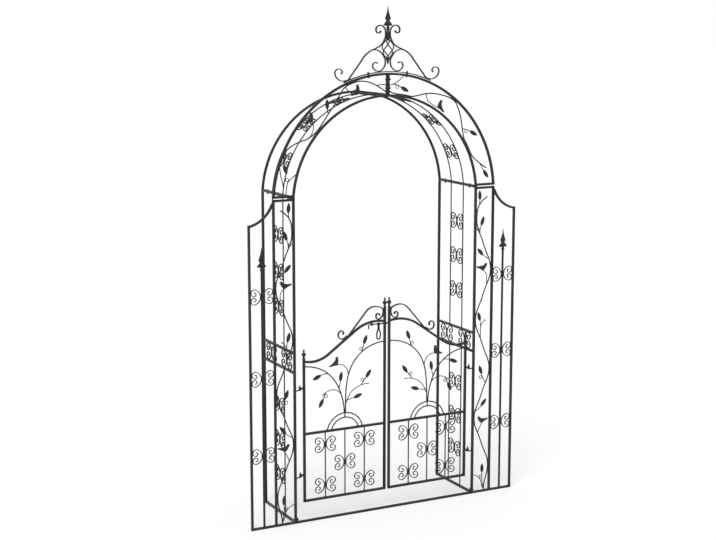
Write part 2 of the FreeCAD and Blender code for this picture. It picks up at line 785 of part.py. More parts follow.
left_birds = [
    (0, [(37.5, 0.13), (41.2, 0.20), (43.8, 0.42), (44.6, 0.60)], (-0.73, 0.68), -1),
    (0, [(67.6, 0.95), (70.2, 0.42), (72.0, 0.31), (73.3, 0.36)], (-0.70, 0.71), -1),
]
nodes["left_arch_vine"] = mirrored([arch_vine(left_wires, left_leaves, left_rings, left_birds)])

# Crest: strip bolted to the outer arc

strip_low = outer_radius + half + crest_spacer
strip_top = strip_low + crest_strip_thick


def over_strip(share):
    """Angle above the horizontal at a share of the strip's half width."""
    return 90 - math.degrees(math.asin(share * crest_strip_half / strip_top))


strip_end = over_strip(1)
strip_side = crest_strip_width / 2
strip_corners = [
    around(strip_low, strip_end, -strip_side),
    around(strip_top, strip_end, -strip_side),
    around(strip_top, strip_end, strip_side),
    around(strip_low, strip_end, strip_side),
]
strip_face = Part.Face(Part.makePolygon(strip_corners + strip_corners[:1]))
strip = strip_face.revolve(V(0, 0, arc_z), V(0, -1, 0), 2 * (90 - strip_end))
crest_angles = (90 - crest_angle, 90 + crest_angle)
nodes["crest_strip"] = [drilled(strip, [(around(outer_radius, a), outward(a)) for a in crest_angles])]

crest_bolts = []
for a in crest_angles:
    head_face = around(outer_radius - half - touch, a)
    grip = bar + crest_spacer + crest_strip_thick + 2 * touch
    crest_bolts.append(capped_bolt(head_face, outward(a), grip))
    washer = cylinder(around(outer_radius + half, a), around(strip_low - touch, a), 2 * bolt_dia)
    crest_bolts.append(drilled(washer, [(around(outer_radius, a), outward(a))]))
nodes["crest_bolts"] = crest_bolts

# Crest: cone, basket of four twisted wires, shaft and spear, one above the other

crown_top = arc_z + strip_top
cone_low = crown_top + cone_rise
basket_low = cone_low + cone_length
basket_high = basket_low + basket_height
shaft_top = basket_high + shaft_length
basket_foot = (shaft_dia - basket_wire) / 2 - 1
basket = []
for k in range(4):
    spots = []
    for n in range(7):
        share = n / 6
        reach = basket_foot + (basket_radius - basket_wire / 2 - basket_foot) * math.sin(math.pi * share)
        angle = math.radians(45 + 90 * k + basket_turn * share)
        spots.append(V(reach * math.cos(angle), reach * math.sin(angle), basket_low + basket_height * share))
    basket.append(pipe(smooth(spots, V(0, 0, 1), V(0, 0, 1)), basket_wire))
nodes["crest_basket"] = basket
nodes["crest_spear"] = [
    joined([spear(0, shaft_top + spear_length, shaft_dia),
            cylinder(V(0, 0, basket_high), V(0, 0, shaft_top), shaft_dia)]),
    Part.makeCone(cone_tip / 2, shaft_dia / 2, cone_length, V(0, 0, cone_low)),
]

# Crest scrolls: an arm from the strip to the shaft with a crook on top, an inner and an outer curl

shaft_side = shaft_dia / 2 + arm_thick / 2 + touch
shaft_contact = basket_high + shaft_length * 0.65


def in_crest(share_x, share_z):
    """Share_x runs from the shaft to the strip's end, share_z from the crown to the arm's contact."""
    return in_front(shaft_side + (crest_strip_half - shaft_side) * share_x,
                    crown_top + (shaft_contact - crown_top) * share_z)


arm_foot = around(strip_top - arm_thick, over_strip(arm_contact))
arm_spots = [
    (0.6055, 0.25), (0.475, 0.463), (0.365, 0.56), (0.219, 0.64), (0.111, 0.72), (0.037, 0.846),
    (0, 1), (0.016, 1.16), (0.13, 1.26), (0.227, 1.18), (0.187, 1.053), (0.1216, 1.096)]
curl_in_spots = [(0.321, 0.58), (0.17, 0.567), (0.065, 0.45), (0.006, 0.262), (0.045, 0.095)]
curl_out_spots = [(0.262, 0.041), (0.311, 0.15), (0.262, 0.243), (0.203, 0.227)]
arm_points = [arm_foot] + [in_crest(*spot) for spot in arm_spots]
arm_heading = (arm_points[1] - arm_points[0]).normalize()
arm_edges = smooth(arm_points, first=arm_heading, held={1: arm_heading, 7: V(0, 0, 1)})
curl_angle = over_strip(curl_contact)
curl_points = [in_crest(*spot) for spot in curl_in_spots]
curl_points[0] = on_stem(Part.Wire(arm_edges), curl_points[0])
curl_points.append(around(strip_top + curl_thick / 2 + touch, curl_angle))
curl_points += [in_crest(*spot) for spot in curl_out_spots]
curl_edges = smooth(curl_points, held={5: downhill(curl_angle)})
volute_angle = over_strip(volute_start)
volute_foot = around(strip_top + curl_thick / 2 + touch, volute_angle)
volute_steps = [(volute_radius, 95), (volute_radius * 0.46, 160), (volute_radius * 0.23, 90)]
volute = laid(bends((volute_foot.x, volute_foot.z), volute_angle - 90, volute_steps), in_front)
crest_scroll = [
    joined([flat_pipe(arm_edges, arm_thick).cut(disc(strip_top + touch)), flat_pipe(curl_edges, curl_thick)]),
    flat_pipe(volute, curl_thick),
]
nodes["crest_scrolls"] = crest_scroll + mirrored(crest_scroll)

# Bolts of the arch: springing and crown

arch_bolts = []
for side in (1, -1):
    for y in flat_bolt_ys:
        head = V(side * inner_post_x, y, springing_z + flat_thick)
        arch_bolts.append(capped_bolt(head, V(0, 0, -1), 2 * flat_thick))
for z in crown_bolt_zs:
    head = V(-crown_face - crown_bar_thick, 0, z)
    arch_bolts.append(capped_bolt(head, V(1, 0, 0), 2 * crown_bar_thick + crown_gap))
for y in flat_bolt_ys:
    head = V(-crown_face - flat_thick, y, crown_flat_z)
    arch_bolts.append(capped_bolt(head, V(1, 0, 0), 2 * flat_thick + crown_gap))
nodes["arch_bolts"] = arch_bolts

# Threshold bar between the inner posts, with its tabs and bolts

tab_face = inner_post_x - half
tab_inner = tab_face - tab_thick
tab = box(tab_inner, tab_face, -tab_width / 2, tab_width / 2, 0, tab_height)
tab = drilled(tab, [threshold_hole])
nodes["threshold_bar"] = [joined([
    box(-tab_inner, tab_inner, -half, half, 0, bar), tab, mirrored([tab])[0]])]
threshold_bolt = capped_bolt(V(inner_post_x + half, 0, threshold_bolt_z), V(-1, 0, 0), bar + tab_thick)
nodes["threshold_bolts"] = [threshold_bolt] + mirrored([threshold_bolt])

# Hinges: a bracket with an upright pin on the inner post, an eye on the gate's hinge post

hinge_zs = (hinge_low_z, hinge_high_z)
hinge_pins = []
for z in hinge_zs:
    z0, z1 = z - bracket_thick / 2, z + bracket_thick / 2
    arm = box(hinge_x, tab_face, -bracket_width / 2, bracket_width / 2, z0, z1)
    round_end = cylinder(V(hinge_x, 0, z0), V(hinge_x, 0, z1), bracket_width)
    pin = cylinder(V(hinge_x, 0, z0), V(hinge_x, 0, z1 + pin_height), pin_dia)
    dome = Part.makeSphere(pin_dia / 2, V(hinge_x, 0, z1 + pin_height), V(0, 0, 1), 0, 90)
    hinge_pins.append(joined([arm, round_end, pin, dome]))
both_sides("hinge_pins", hinge_pins)


def hinge_eye(z):
    low = z + bracket_thick / 2 + seat_gap
    middle_z = low + eye_height / 2
    barrel = cylinder(V(hinge_x, 0, low), V(hinge_x, 0, low + eye_height), eye_dia)
    arm_depth = bar * 0.8
    arm_height = eye_height * 0.7
    arm = box(hinge_post_x + half, hinge_x, -arm_depth / 2, arm_depth / 2,
              middle_z - arm_height / 2, middle_z + arm_height / 2)
    hole = cylinder(V(hinge_x, 0, low - 1), V(hinge_x, 0, low + eye_height + 1), pin_dia + 2 * hinge_fit)
    return joined([barrel, arm]).cut(hole)


# Top rail: a hollow bend, a straight run and a crest, from the hinge post to the stile

bay_low = stile_x + half
bay_high = hinge_post_x - half
bay_width = bay_high - bay_low
crest_x = bay_low + crest_inset
crest_z = valley_z + rail_rise
valley_x = bay_high - valley_inset
slope = math.radians(rail_slope)
level_run = valley_x - crest_x - rail_rise / math.tan(slope)
both_radii = level_run * math.sin(slope) / (1 - math.cos(slope))
valley_radius = both_radii * valley_part
crest_radius = both_radii - valley_radius
slope_run = (rail_rise - both_radii * (1 - math.cos(slope))) / math.sin(slope)
valley_start = math.degrees(math.asin(valley_inset / valley_radius))
crest_end = math.degrees(math.asin(crest_inset / crest_radius))
rail_z = valley_z + valley_radius * (1 - math.cos(math.radians(valley_start)))
rail_path = bends((bay_high, rail_z), 180 + valley_start, [
    (valley_radius, -valley_start - rail_slope),
    (None, slope_run),
    (crest_radius, rail_slope + crest_end),
])
long_rail = square_pipe(laid(rail_path, in_front), bar)
both_sides("gate_top_rail", [long_rail.common(box(bay_low, bay_high, -bar, bar, 0, springing_z))])


def rail_underside(x):
    """Underside of the top rail near its crest."""
    return crest_z - crest_radius + math.sqrt((crest_radius - half) ** 2 - (x - crest_x) ** 2)


# Gate leaves: hinge post with its eyes, meeting stile, bottom and middle rail

latch_z = rail_underside(bay_low) - latch_drop + rod_dia / 2
latch_bore = rod_dia + 2 * latch_fit
gate_low = gate_bottom_z - half
stile_top = crest_z + stile_rise
hinge_post_top = rail_z + hinge_post_rise
stile = box(stile_x - half, stile_x + half, -half, half, gate_low, stile_top)
stile = stile.cut(cylinder(V(0, 0, latch_z), V(2 * stile_x, 0, latch_z), latch_bore))
hinge_post = box(hinge_post_x - half, hinge_post_x + half, -half, half, gate_low, hinge_post_top)
both_sides("gate_frame", [
    joined([hinge_post] + [hinge_eye(z) for z in hinge_zs]),
    stile,
    box(bay_low, bay_high, -half, half, gate_bottom_z - half, gate_bottom_z + half),
    box(bay_low, bay_high, -half, half, mid_rail_z - half, mid_rail_z + half),
])

# Long scroll on the top rail: head against the stile, straight arm down to the rail, tail curled up from it

slope_start = in_front(*rail_path[1][1])
uphill = V(-math.cos(slope), 0, math.sin(slope))
rail_normal = V(math.sin(slope), 0, math.cos(slope))
arm_gap = arm_thick / 2 + touch
rail_rest = slope_start + uphill * (slope_run * arm_rest) + rail_normal * (half + arm_gap)
loop_x = bay_low + arm_gap
loop_z = crest_z + half + arm_gap


def in_head(share_x, share_z):
    """Share_x is 0 at the stile, share_z is 0 on the rail's crest."""
    return in_front(loop_x + head_width * share_x, loop_z + head_height * share_z)


head_spots = [
    (0.20, 0.31), (0.29, 0.44), (0.39, 0.24), (0.26, 0), (0, 0.55), (0.44, 1), (0.80, 0.84), (1, 0.52)]
head_points = [in_head(*spot) for spot in head_spots] + [rail_rest - rail_normal * (2 * arm_gap)]
arm_down = (head_points[-1] - head_points[-2]).normalize()
head_edges = smooth(head_points, last=arm_down, held={3: V(-1, 0, 0), 4: V(0, 0, 1), 7: arm_down})
rail_edge = slope_start + rail_normal * (half + touch)
below_rail = Part.makeBox(2 * slope_run, 4 * bar, 2 * bar)
below_rail.Placement = FreeCAD.Placement(
    rail_edge - uphill * (slope_run / 2) + V(0, 2 * bar, 0) - rail_normal * (2 * bar),
    FreeCAD.Rotation(uphill, V(0, -1, 0), rail_normal, "XYZ"))
tail = bends((rail_rest.x, rail_rest.z), -rail_slope, [
    (None, tail_straight), (tail_radius, 180), (tail_radius * 0.55, 150)])
both_sides("gate_top_scroll", [
    joined([flat_pipe(head_edges, arm_thick).cut(below_rail), flat_pipe(laid(tail, in_front), arm_thick)])])

# Rods, hoops and scrolls in the lower part

bay_middle = (bay_low + bay_high) / 2
rod_xs = [bay_low + bay_width * k / 4 for k in (1, 2, 3)]
rail_top = mid_rail_z + half
hoop_z = rail_top - hoop_centre_drop
gate_rods = [cylinder(V(x, 0, gate_bottom_z + half), V(x, 0, mid_rail_z - half), rod_dia) for x in rod_xs]
for radius in (hoop_radius, inner_hoop_radius):
    arc = Part.Arc(V(bay_middle + radius, 0, hoop_z), V(bay_middle, 0, hoop_z + radius),
                   V(bay_middle - radius, 0, hoop_z))
    hoop = pipe([arc.toShape()], hoop_wire)
    gate_rods.append(hoop.common(box(0, hinge_x, -bar, bar, rail_top, springing_z)))
stub_low = hoop_z + inner_hoop_radius + hoop_wire / 2 + touch
stub_high = hoop_z + hoop_radius - hoop_wire / 2 - touch
gate_rods.append(cylinder(V(bay_middle, 0, stub_low), V(bay_middle, 0, stub_high), hoop_wire))
both_sides("gate_rods", gate_rods)

gate_scroll_width = gate_scroll_reach - scroll_thick
lower_middle = (gate_bottom_z + mid_rail_z) / 2
gate_scrolls = []
for x, steps in zip(rod_xs, ((-1, 1), (0,), (-1, 1))):
    for k in steps:
        z = lower_middle + k * gate_scroll_step
        gate_scrolls += scroll_pair(gate_scroll_width, rod_dia, lambda a, b: in_front(x + a, z + b))
both_sides("gate_scrolls", gate_scrolls)

# Gate vines: two stems side by side on the top of the hoop, with shoots

vine_foot = hoop_z + hoop_radius + hoop_wire / 2 + touch
vine_span = (valley_z - half - vine_foot) / valley_share
bay_reach = bay_width / 2 - touch
beside = (vine_wire + touch) / 2 / bay_reach
bay_field = box(bay_low + touch, bay_high - touch, -bar, bar, vine_foot, springing_z)


def in_bay(share_x, share_z):
    """Share_x is -1 at the meeting stile and 1 at the hinge post, share_z starts at the top of the hoop."""
    return in_front(bay_middle + bay_reach * share_x, vine_foot + vine_span * share_z)


def in_bay_all(spots):
    return [in_bay(*spot) for spot in spots]


main_spots = [
    (beside, 0), (0.037, 0.108), (0.096, 0.219), (0.193, 0.329), (0.383, 0.452), (0.616, 0.531),
    (0.827, 0.567), (1.03, 0.579)]
stile_spots = [
    (-beside, 0), (-0.020, 0.14), (-0.037, 0.28), (-0.095, 0.435), (-0.235, 0.575), (-0.45, 0.680),
    (-0.70, 0.742), (-1.03, 0.769)]
low_spots = [
    (-0.02, 0.085), (-0.095, 0.175), (-0.19, 0.235), (-0.34, 0.280), (-0.47, 0.297), (-0.60, 0.300)]
arch_spots = [(0.09, 0.21), (0.175, 0.254), (0.325, 0.277), (0.455, 0.262), (0.555, 0.232)]
bird_spots = [(-0.09, 0.425), (-0.045, 0.505), (0.05, 0.548), (0.20, 0.556)]
main_stem = smooth(in_bay_all(main_spots), first=V(0, 0, 1))
stile_stem = smooth(in_bay_all(stile_spots), first=V(0, 0, 1))
main_wire = Part.Wire(main_stem)
stile_wire = Part.Wire(stile_stem)
arch_shoot = Part.Wire(smooth(in_bay_all(arch_spots)))
low_shoot = Part.Wire(smooth(in_bay_all(low_spots)))
main_leaves = [
    (main_wire, [(0.42, 0.466), (0.54, 0.468), (0.63, 0.454), (0.82, 0.415)]),
    (main_wire, [(0.15, 0.288), (0.125, 0.335), (0.11, 0.378), (0.08, 0.482)]),
    (arch_shoot, [(0.475, 0.258), (0.53, 0.212), (0.56, 0.172), (0.67, 0.071)]),
]
stile_leaves = [
    (stile_wire, [(-0.43, 0.673), (-0.475, 0.735), (-0.495, 0.775), (-0.57, 0.872)]),
    (low_shoot, [(-0.06, 0.135), (-0.15, 0.147), (-0.26, 0.158), (-0.46, 0.190)]),
    (low_shoot, [(-0.42, 0.292), (-0.50, 0.347), (-0.56, 0.382), (-0.69, 0.472)]),
]


def bay_leaves(leaves):
    return [solid for stem, spots in leaves for solid in leafy(stem, in_bay_all(spots))]


bird_points = in_bay_all(bird_spots)
bird_facing = V(-math.cos(math.radians(34)), 0, math.sin(math.radians(34)))
both_sides("gate_vine", [
    joined([pipe(main_stem, vine_wire).common(bay_field), ring(in_bay(0.475, 0.213))]
           + budded(main_wire, in_bay_all(arch_spots)) + bay_leaves(main_leaves)),
    joined([pipe(stile_stem, vine_wire).common(bay_field)]
           + [ring(in_bay(*spot)) for spot in ((-0.415, 0.712), (-0.452, 0.352))]
           + budded(stile_wire, in_bay_all(low_spots)) + bay_leaves(stile_leaves)
           + [shoot(stile_wire, bird_points), bird(bird_points[-1], bird_facing, -1)]),
])

# Finials on both gate posts

finial_profile = (          # radius and height, as shares of the finial's height
    (0, 0), (0.104, 0), (0.146, 0.167), (0.25, 0.44), (0.21, 0.54), (0.073, 0.667), (0.115, 0.79),
    (0.083, 0.917), (0, 1))


def finial(x, z):
    return turned(x, z, [(finial_height * r, finial_height * h) for r, h in finial_profile])


both_sides("gate_finials", [finial(stile_x, stile_top), finial(hinge_post_x, hinge_post_top)])

# Latch on the left leaf: slide bolt, drop handle, guides

latch_tip = gate_gap / 2 - latch_tip_clear
latch_path = bends((latch_tip, latch_z), 180, [
    (None, latch_tip - latch_finger_x - finger_radius),
    (finger_radius, 90),
    (None, latch_finger_length - finger_radius),
])
nodes["latch_bolt"] = [pipe(laid(latch_path, in_front), rod_dia)]

neck_half = handle_wire * 0.4
loop_top = latch_z - boss_dia / 2 + touch
loop_low = latch_z - handle_length + handle_wire / 2
loop_half = (handle_width - handle_wire) / 2
handle_half = smooth([
    V(handle_x + neck_half, 0, loop_top),
    V(handle_x + neck_half, 0, loop_top - neck_length),
    V(handle_x + loop_half, 0, loop_low + handle_width * 0.9),
    V(handle_x, 0, loop_low),
], V(0, 0, -1), V(-1, 0, 0), {1: V(0.12, 0, -1)})
handle_side = pipe(handle_half, handle_wire)
other_side = handle_side.mirror(V(handle_x, 0, 0), V(1, 0, 0))
boss_reach = V(boss_length / 2, 0, 0)
boss = cylinder(V(handle_x, 0, latch_z) - boss_reach, V(handle_x, 0, latch_z) + boss_reach, boss_dia)
rod_fit = cylinder(V(handle_x - bar, 0, latch_z), V(handle_x + bar, 0, latch_z), rod_dia + touch)
nodes["latch_handle"] = [joined([handle_side, other_side, boss]).cut(rod_fit)]

guide_x0, guide_x1 = guide_x - guide_length / 2, guide_x + guide_length / 2
guide_side = bar * 0.4
guide_top = rail_underside(-guide_x0) - touch
guide = joined([
    cylinder(V(guide_x0, 0, latch_z), V(guide_x1, 0, latch_z), guide_dia),
    box(guide_x0, guide_x1, -guide_side, guide_side, latch_z, guide_top),
])
bore = cylinder(V(guide_x0 - 1, 0, latch_z), V(guide_x1 + 1, 0, latch_z), latch_bore)
ferrule_foot = V(-gate_gap / 2, 0, latch_z)
ferrule = Part.makeCone(ferrule_base / 2, ferrule_tip / 2, ferrule_length, ferrule_foot, V(1, 0, 0))
ferrule_bore = cylinder(V(-gate_gap, 0, latch_z), V(gate_gap, 0, latch_z), latch_bore)
nodes["latch_guides"] = [guide.cut(bore), ferrule.cut(ferrule_bore)]

os.makedirs("parts", exist_ok=True)
for name, shapes in nodes.items():
    solids = [solid for shape in shapes for solid in shape.Solids]
    for solid in solids:
        if not solid.isValid() or solid.Volume <= 0:
            print("bad solid in", name, solid.Volume)
    Part.makeCompound(solids).exportStep("parts/" + name + ".step")
print(len(nodes), "nodes", sum(len(s.Solids) for shapes in nodes.values() for s in shapes), "solids")
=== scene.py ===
import math

import bmesh
import bpy
from mathutils import Matrix, Vector
from mathutils.geometry import delaunay_2d_cdt


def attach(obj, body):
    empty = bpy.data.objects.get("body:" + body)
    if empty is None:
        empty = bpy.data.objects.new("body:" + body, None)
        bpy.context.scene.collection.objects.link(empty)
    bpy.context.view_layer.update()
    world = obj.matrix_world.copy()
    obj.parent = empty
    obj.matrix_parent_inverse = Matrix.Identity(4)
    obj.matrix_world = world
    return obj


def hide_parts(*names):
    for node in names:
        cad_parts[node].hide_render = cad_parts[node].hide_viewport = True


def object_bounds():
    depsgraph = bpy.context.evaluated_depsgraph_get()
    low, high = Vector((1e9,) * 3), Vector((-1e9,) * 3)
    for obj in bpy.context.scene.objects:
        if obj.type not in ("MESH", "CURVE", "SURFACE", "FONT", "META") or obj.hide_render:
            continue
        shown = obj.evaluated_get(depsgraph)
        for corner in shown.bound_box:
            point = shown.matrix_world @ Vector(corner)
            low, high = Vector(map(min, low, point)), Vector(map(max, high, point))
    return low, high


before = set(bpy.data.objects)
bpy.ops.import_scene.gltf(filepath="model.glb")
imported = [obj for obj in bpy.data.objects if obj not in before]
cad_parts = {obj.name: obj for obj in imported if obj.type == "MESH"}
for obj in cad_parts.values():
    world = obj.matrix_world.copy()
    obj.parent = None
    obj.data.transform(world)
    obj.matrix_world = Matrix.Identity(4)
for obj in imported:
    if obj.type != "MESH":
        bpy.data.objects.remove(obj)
cad_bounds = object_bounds()

# Side frames
# Two square posts a side on a square foot, with a two-bar ladder at waist height and a drilled flat on top.
# Mild steel, butt welded, under one coat of black-brown powder paint that is rubbed thin at the edges.

mm = 0.001
bar = 12.0
half = bar / 2
depth = 390.0
inner_post_x = 550.0
springing_z = 1750.0
flat_thick = 6.0
ladder_zs = (825.0, 930.0)
edge_rounding = 1.0
sides = ((1, "right"), (-1, "left"))


def fed(tree, node, inputs):
    """Sets a node's inputs, by label or number: a value is set and a socket is linked."""
    for label, value in inputs.items():
        if isinstance(value, bpy.types.NodeSocket):
            tree.links.new(value, node.inputs[label])
        else:
            node.inputs[label].default_value = value
    return node


def added(tree, kind, inputs=None, **settings):
    """New node with its settings and inputs."""
    node = tree.nodes.new(kind)
    for setting, value in settings.items():
        setattr(node, setting, value)
    return fed(tree, node, inputs or {})


def noise(tree, place, scale, detail):
    return added(tree, "ShaderNodeTexNoise", {"Vector": place, "Scale": scale, "Detail": detail}).outputs[0]


def ramp(tree, value, low=0, high=1, low_result=0, high_result=1):
    """Value stretched from low..high to low_result..high_result."""
    return added(tree, "ShaderNodeMapRange", {
        "Value": value, "From Min": low, "From Max": high,
        "To Min": low_result, "To Max": high_result}).outputs["Result"]


def maths(tree, kind, first, second):
    """Result of arithmetic on sockets or numbers."""
    return added(tree, "ShaderNodeMath", {0: first, 1: second}, operation=kind).outputs[0]


def blended(tree, factor, first, second):
    """Mix of two colours, which are inputs 6 and 7 and output 2 of its node."""
    return added(tree, "ShaderNodeMix", {0: factor, 6: first, 7: second}, data_type="RGBA").outputs[2]


def new_group(name, kind, inputs, outputs):
    """Node group and its input node; inputs are (label, socket kind, value), outputs (label, socket kind)."""
    tree = bpy.data.node_groups.new(name, kind)
    for label, socket_kind, value in inputs:
        socket = tree.interface.new_socket(label, in_out="INPUT", socket_type="NodeSocket" + socket_kind)
        if value is not None:
            socket.default_value = value
    for label, socket_kind in outputs:
        tree.interface.new_socket(label, in_out="OUTPUT", socket_type="NodeSocket" + socket_kind)
    return tree, tree.nodes.new("NodeGroupInput")


coat_group, coat_in = new_group("outdoor_coat", "ShaderNodeTree", [
    ("Coat", "Color", (0.02, 0.02, 0.02, 1)), ("Thin Coat", "Color", (0.05, 0.04, 0.03, 1)),
    ("Dust", "Color", (0.16, 0.15, 0.14, 1)), ("Wear", "Float", 0.3), ("Gloss Low", "Float", 0.34),
    ("Gloss High", "Float", 0.58), ("Grain Scale", "Float", 420.0)],
    [("Color", "Color"), ("Roughness", "Float"), ("Height", "Float")])
coat_from = coat_in.outputs

# Mottle is wear by handling, flecks are scuffs and grime holds dust. Faces that point up are painted lighter
# towards the dust colour: a painted highlight on their tops, not dust.
place = added(coat_group, "ShaderNodeTexCoord").outputs["Object"]
mottle = ramp(coat_group, noise(coat_group, place, 22, 4), 0.40, 0.70)
flecks = ramp(coat_group, noise(coat_group, place, 170, 3), 0.56, 0.72)
grime = ramp(coat_group, noise(coat_group, place, 9, 5), 0.48, 0.78)
facing = added(coat_group, "ShaderNodeSeparateXYZ", {
    0: added(coat_group, "ShaderNodeNewGeometry").outputs["Normal"]})
# Painted highlight: faces that point up get a lighter colour, as if lit from above.
painted_top_light = ramp(coat_group, facing.outputs["Z"], 0.2, 1.0)
worn = coat_from["Coat"]
for rubbed in (mottle, flecks):
    rubbed = maths(coat_group, "MULTIPLY", rubbed, coat_from["Wear"])
    worn = blended(coat_group, rubbed, worn, coat_from["Thin Coat"])
# The dust colour goes on by grime, which is real dust, and by the painted highlight on the tops.
dust_and_top_light = maths(coat_group, "ADD", maths(coat_group, "MULTIPLY", painted_top_light, 0.16),
                     maths(coat_group, "MULTIPLY", grime, 0.10))
dull = maths(coat_group, "MAXIMUM", mottle, dust_and_top_light)
added(coat_group, "NodeGroupOutput", {
    "Color": blended(coat_group, dust_and_top_light, worn, coat_from["Dust"]),
    "Roughness": ramp(coat_group, dull, 0, 1, coat_from["Gloss Low"], coat_from["Gloss High"]),
    "Height": maths(coat_group, "ADD", noise(coat_group, place, coat_from["Grain Scale"], 2),
                    maths(coat_group, "MULTIPLY", mottle, 0.5))})


def coated(name, coat, thin_coat, wear, gloss, grain_scale, grain_depth, specular=0.35):
    """Coated steel; gloss is the roughness from shiny to dull, grain_depth is in metres."""
    material = bpy.data.materials.new(name)
    material.use_nodes = True
    tree = material.node_tree
    paint = added(tree, "ShaderNodeGroup", node_tree=coat_group)
    fed(tree, paint, {"Coat": (*coat, 1), "Thin Coat": (*thin_coat, 1), "Wear": wear, "Gloss Low": gloss[0],
                      "Gloss High": gloss[1], "Grain Scale": grain_scale})
    bump = added(tree, "ShaderNodeBump", {
        "Distance": grain_depth, "Strength": 0.6, "Height": paint.outputs["Height"]})
    fed(tree, tree.nodes["Principled BSDF"], {
        "Base Color": paint.outputs["Color"], "Roughness": paint.outputs["Roughness"],
        "Normal": bump.outputs["Normal"], "Specular IOR Level": specular})
    return material


bar_coat = coated("bar_coat", (0.0085, 0.0078, 0.008), (0.027, 0.0205, 0.018), 0.5, (0.4, 0.62), 420, 0.0003)
bar_edge = coated("bar_edge", (0.024, 0.018, 0.016), (0.085, 0.062, 0.048), 0.9, (0.34, 0.55), 500, 0.0002)
weld_coat = coated("weld_coat", (0.0085, 0.0074, 0.0076), (0.025, 0.019, 0.016), 0.4, (0.45, 0.7), 900,
                   0.0004)


def linked(name, data):
    """New object in the scene."""
    piece = bpy.data.objects.new(name, data)
    bpy.context.scene.collection.objects.link(piece)
    return piece


def settled(piece):
    """The piece with its modifiers worked into a plain mesh."""
    bpy.context.view_layer.update()
    graph = bpy.context.evaluated_depsgraph_get()
    mesh = bpy.data.meshes.new_from_object(piece.evaluated_get(graph))
    piece.modifiers.clear()
    piece.data = mesh
    return piece


def finished(piece, body, slot, *nodes):
    """Puts a finished piece on its body, in place of the nodes that it stands for."""
    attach(piece, body)
    if nodes:
        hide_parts(*nodes)


def bars_from(node, body, slot="coated_bar", rounding=edge_rounding):
    """Bars and plates of a node, with their edges rounded and rubbed."""
    shape = bmesh.new()
    shape.from_mesh(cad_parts[node].data)
    bmesh.ops.remove_doubles(shape, verts=shape.verts, dist=0.02 * mm)
    bmesh.ops.dissolve_limit(shape, angle_limit=math.radians(0.5), verts=shape.verts, edges=shape.edges)
    mesh = bpy.data.meshes.new(node + "_bars")
    shape.to_mesh(mesh)
    shape.free()
    for material in (bar_coat, bar_edge):
        mesh.materials.append(material)
    mesh.shade_smooth()
    piece = linked(node + "_bars", mesh)
    bevel = piece.modifiers.new("rolled_edge", "BEVEL")
    bevel.width = rounding * mm
    bevel.segments = 2
    bevel.limit_method = "ANGLE"
    bevel.angle_limit = math.radians(40)
    bevel.material = 1
    bevel.harden_normals = True
    finished(settled(piece), body, slot, node)


def geometry_tree(name, *inputs):
    """Geometry tree with a geometry, inputs as (label, socket kind, value) and a material as its inputs."""
    return new_group(name, "GeometryNodeTree", [("Geometry", "Geometry", None), *inputs,
                                                ("Material", "Material", None)], [("Geometry", "Geometry")])


def chained(tree, *nodes):
    """Links each node's geometry to the next one's and gives the last node; a new node goes by its kind."""
    nodes = [tree.nodes.new(node) if isinstance(node, str) else node for node in nodes]
    for first, second in zip(nodes, nodes[1:]):
        source = [s for s in first.outputs if s.type == "GEOMETRY"][0]
        target = [s for s in second.inputs if s.type == "GEOMETRY"][0]
        tree.links.new(source, target)
    return nodes[-1]


def attribute(tree, name, kind="FLOAT"):
    return added(tree, "GeometryNodeInputNamedAttribute", {"Name": name}, data_type=kind).outputs["Attribute"]


def swept(tree, line_node, radius, corners):
    """Round bar along a line; radius and corners are sockets."""
    circle = added(tree, "GeometryNodeCurvePrimitiveCircle", {"Radius": 1.0, "Resolution": corners})
    sweep = added(tree, "GeometryNodeCurveToMesh", {
        "Fill Caps": True, "Profile Curve": circle.outputs["Curve"]})
    if "Scale" in sweep.inputs:
        fed(tree, sweep, {"Scale": added(tree, "GeometryNodeInputRadius").outputs[0]})
    return chained(tree, line_node, "GeometryNodeMeshToCurve",
                   added(tree, "GeometryNodeSetCurveRadius", {"Radius": radius}), sweep,
                   "GeometryNodeSetShadeSmooth")


def closing(tree, tree_in, last_node):
    """Ends a tree in Realize Instances and Set Material."""
    painted = added(tree, "GeometryNodeSetMaterial", {"Material": tree_in.outputs["Material"]})
    chained(tree, last_node, "GeometryNodeRealizeInstances", painted, "NodeGroupOutput")


def treated(piece, tree, **values):
    """Runs a geometry tree on a piece; values go by input label, with _ for a space."""
    modifier = piece.modifiers.new(tree.name, "NODES")
    modifier.node_group = tree
    for item in tree.interface.items_tree:
        label = item.name.replace(" ", "_").lower()
        if item.in_out == "INPUT" and label in values:
            modifier[item.identifier] = values[label]
    return settled(piece)


seam_tree, seam_in = geometry_tree(
    "weld_seam", ("Bead Radius", "Float", 0.0013), ("Ripple", "Float", 900.0), ("Corners", "Int", 6))
ripple = added(seam_tree, "ShaderNodeTexNoise", {"Scale": seam_in.outputs["Ripple"]}).outputs[0]
bead = maths(seam_tree, "MULTIPLY", seam_in.outputs["Bead Radius"],
             maths(seam_tree, "ADD", maths(seam_tree, "MULTIPLY", ripple, 1.2), 0.4))
closing(seam_tree, seam_in, swept(seam_tree, seam_in, bead, seam_in.outputs["Corners"]))


def line_mesh(name, lines, closed=False):
    """Mesh of edges along lines; a line is a list of (point in millimetres, share of the wire's radius)."""
    points, links, shares = [], [], []
    for line in lines:
        first = len(points)
        points += [Vector(point) * mm for point, share in line]
        shares += [share for point, share in line]
        links += [(k, k + 1) for k in range(first, len(points) - 1)]
        if closed:
            links.append((len(points) - 1, first))
    mesh = bpy.data.meshes.new(name)
    mesh.from_pydata(points, links, [])
    mesh.attributes.new("thickness", "FLOAT", "POINT").data.foreach_set("value", shares)
    return mesh


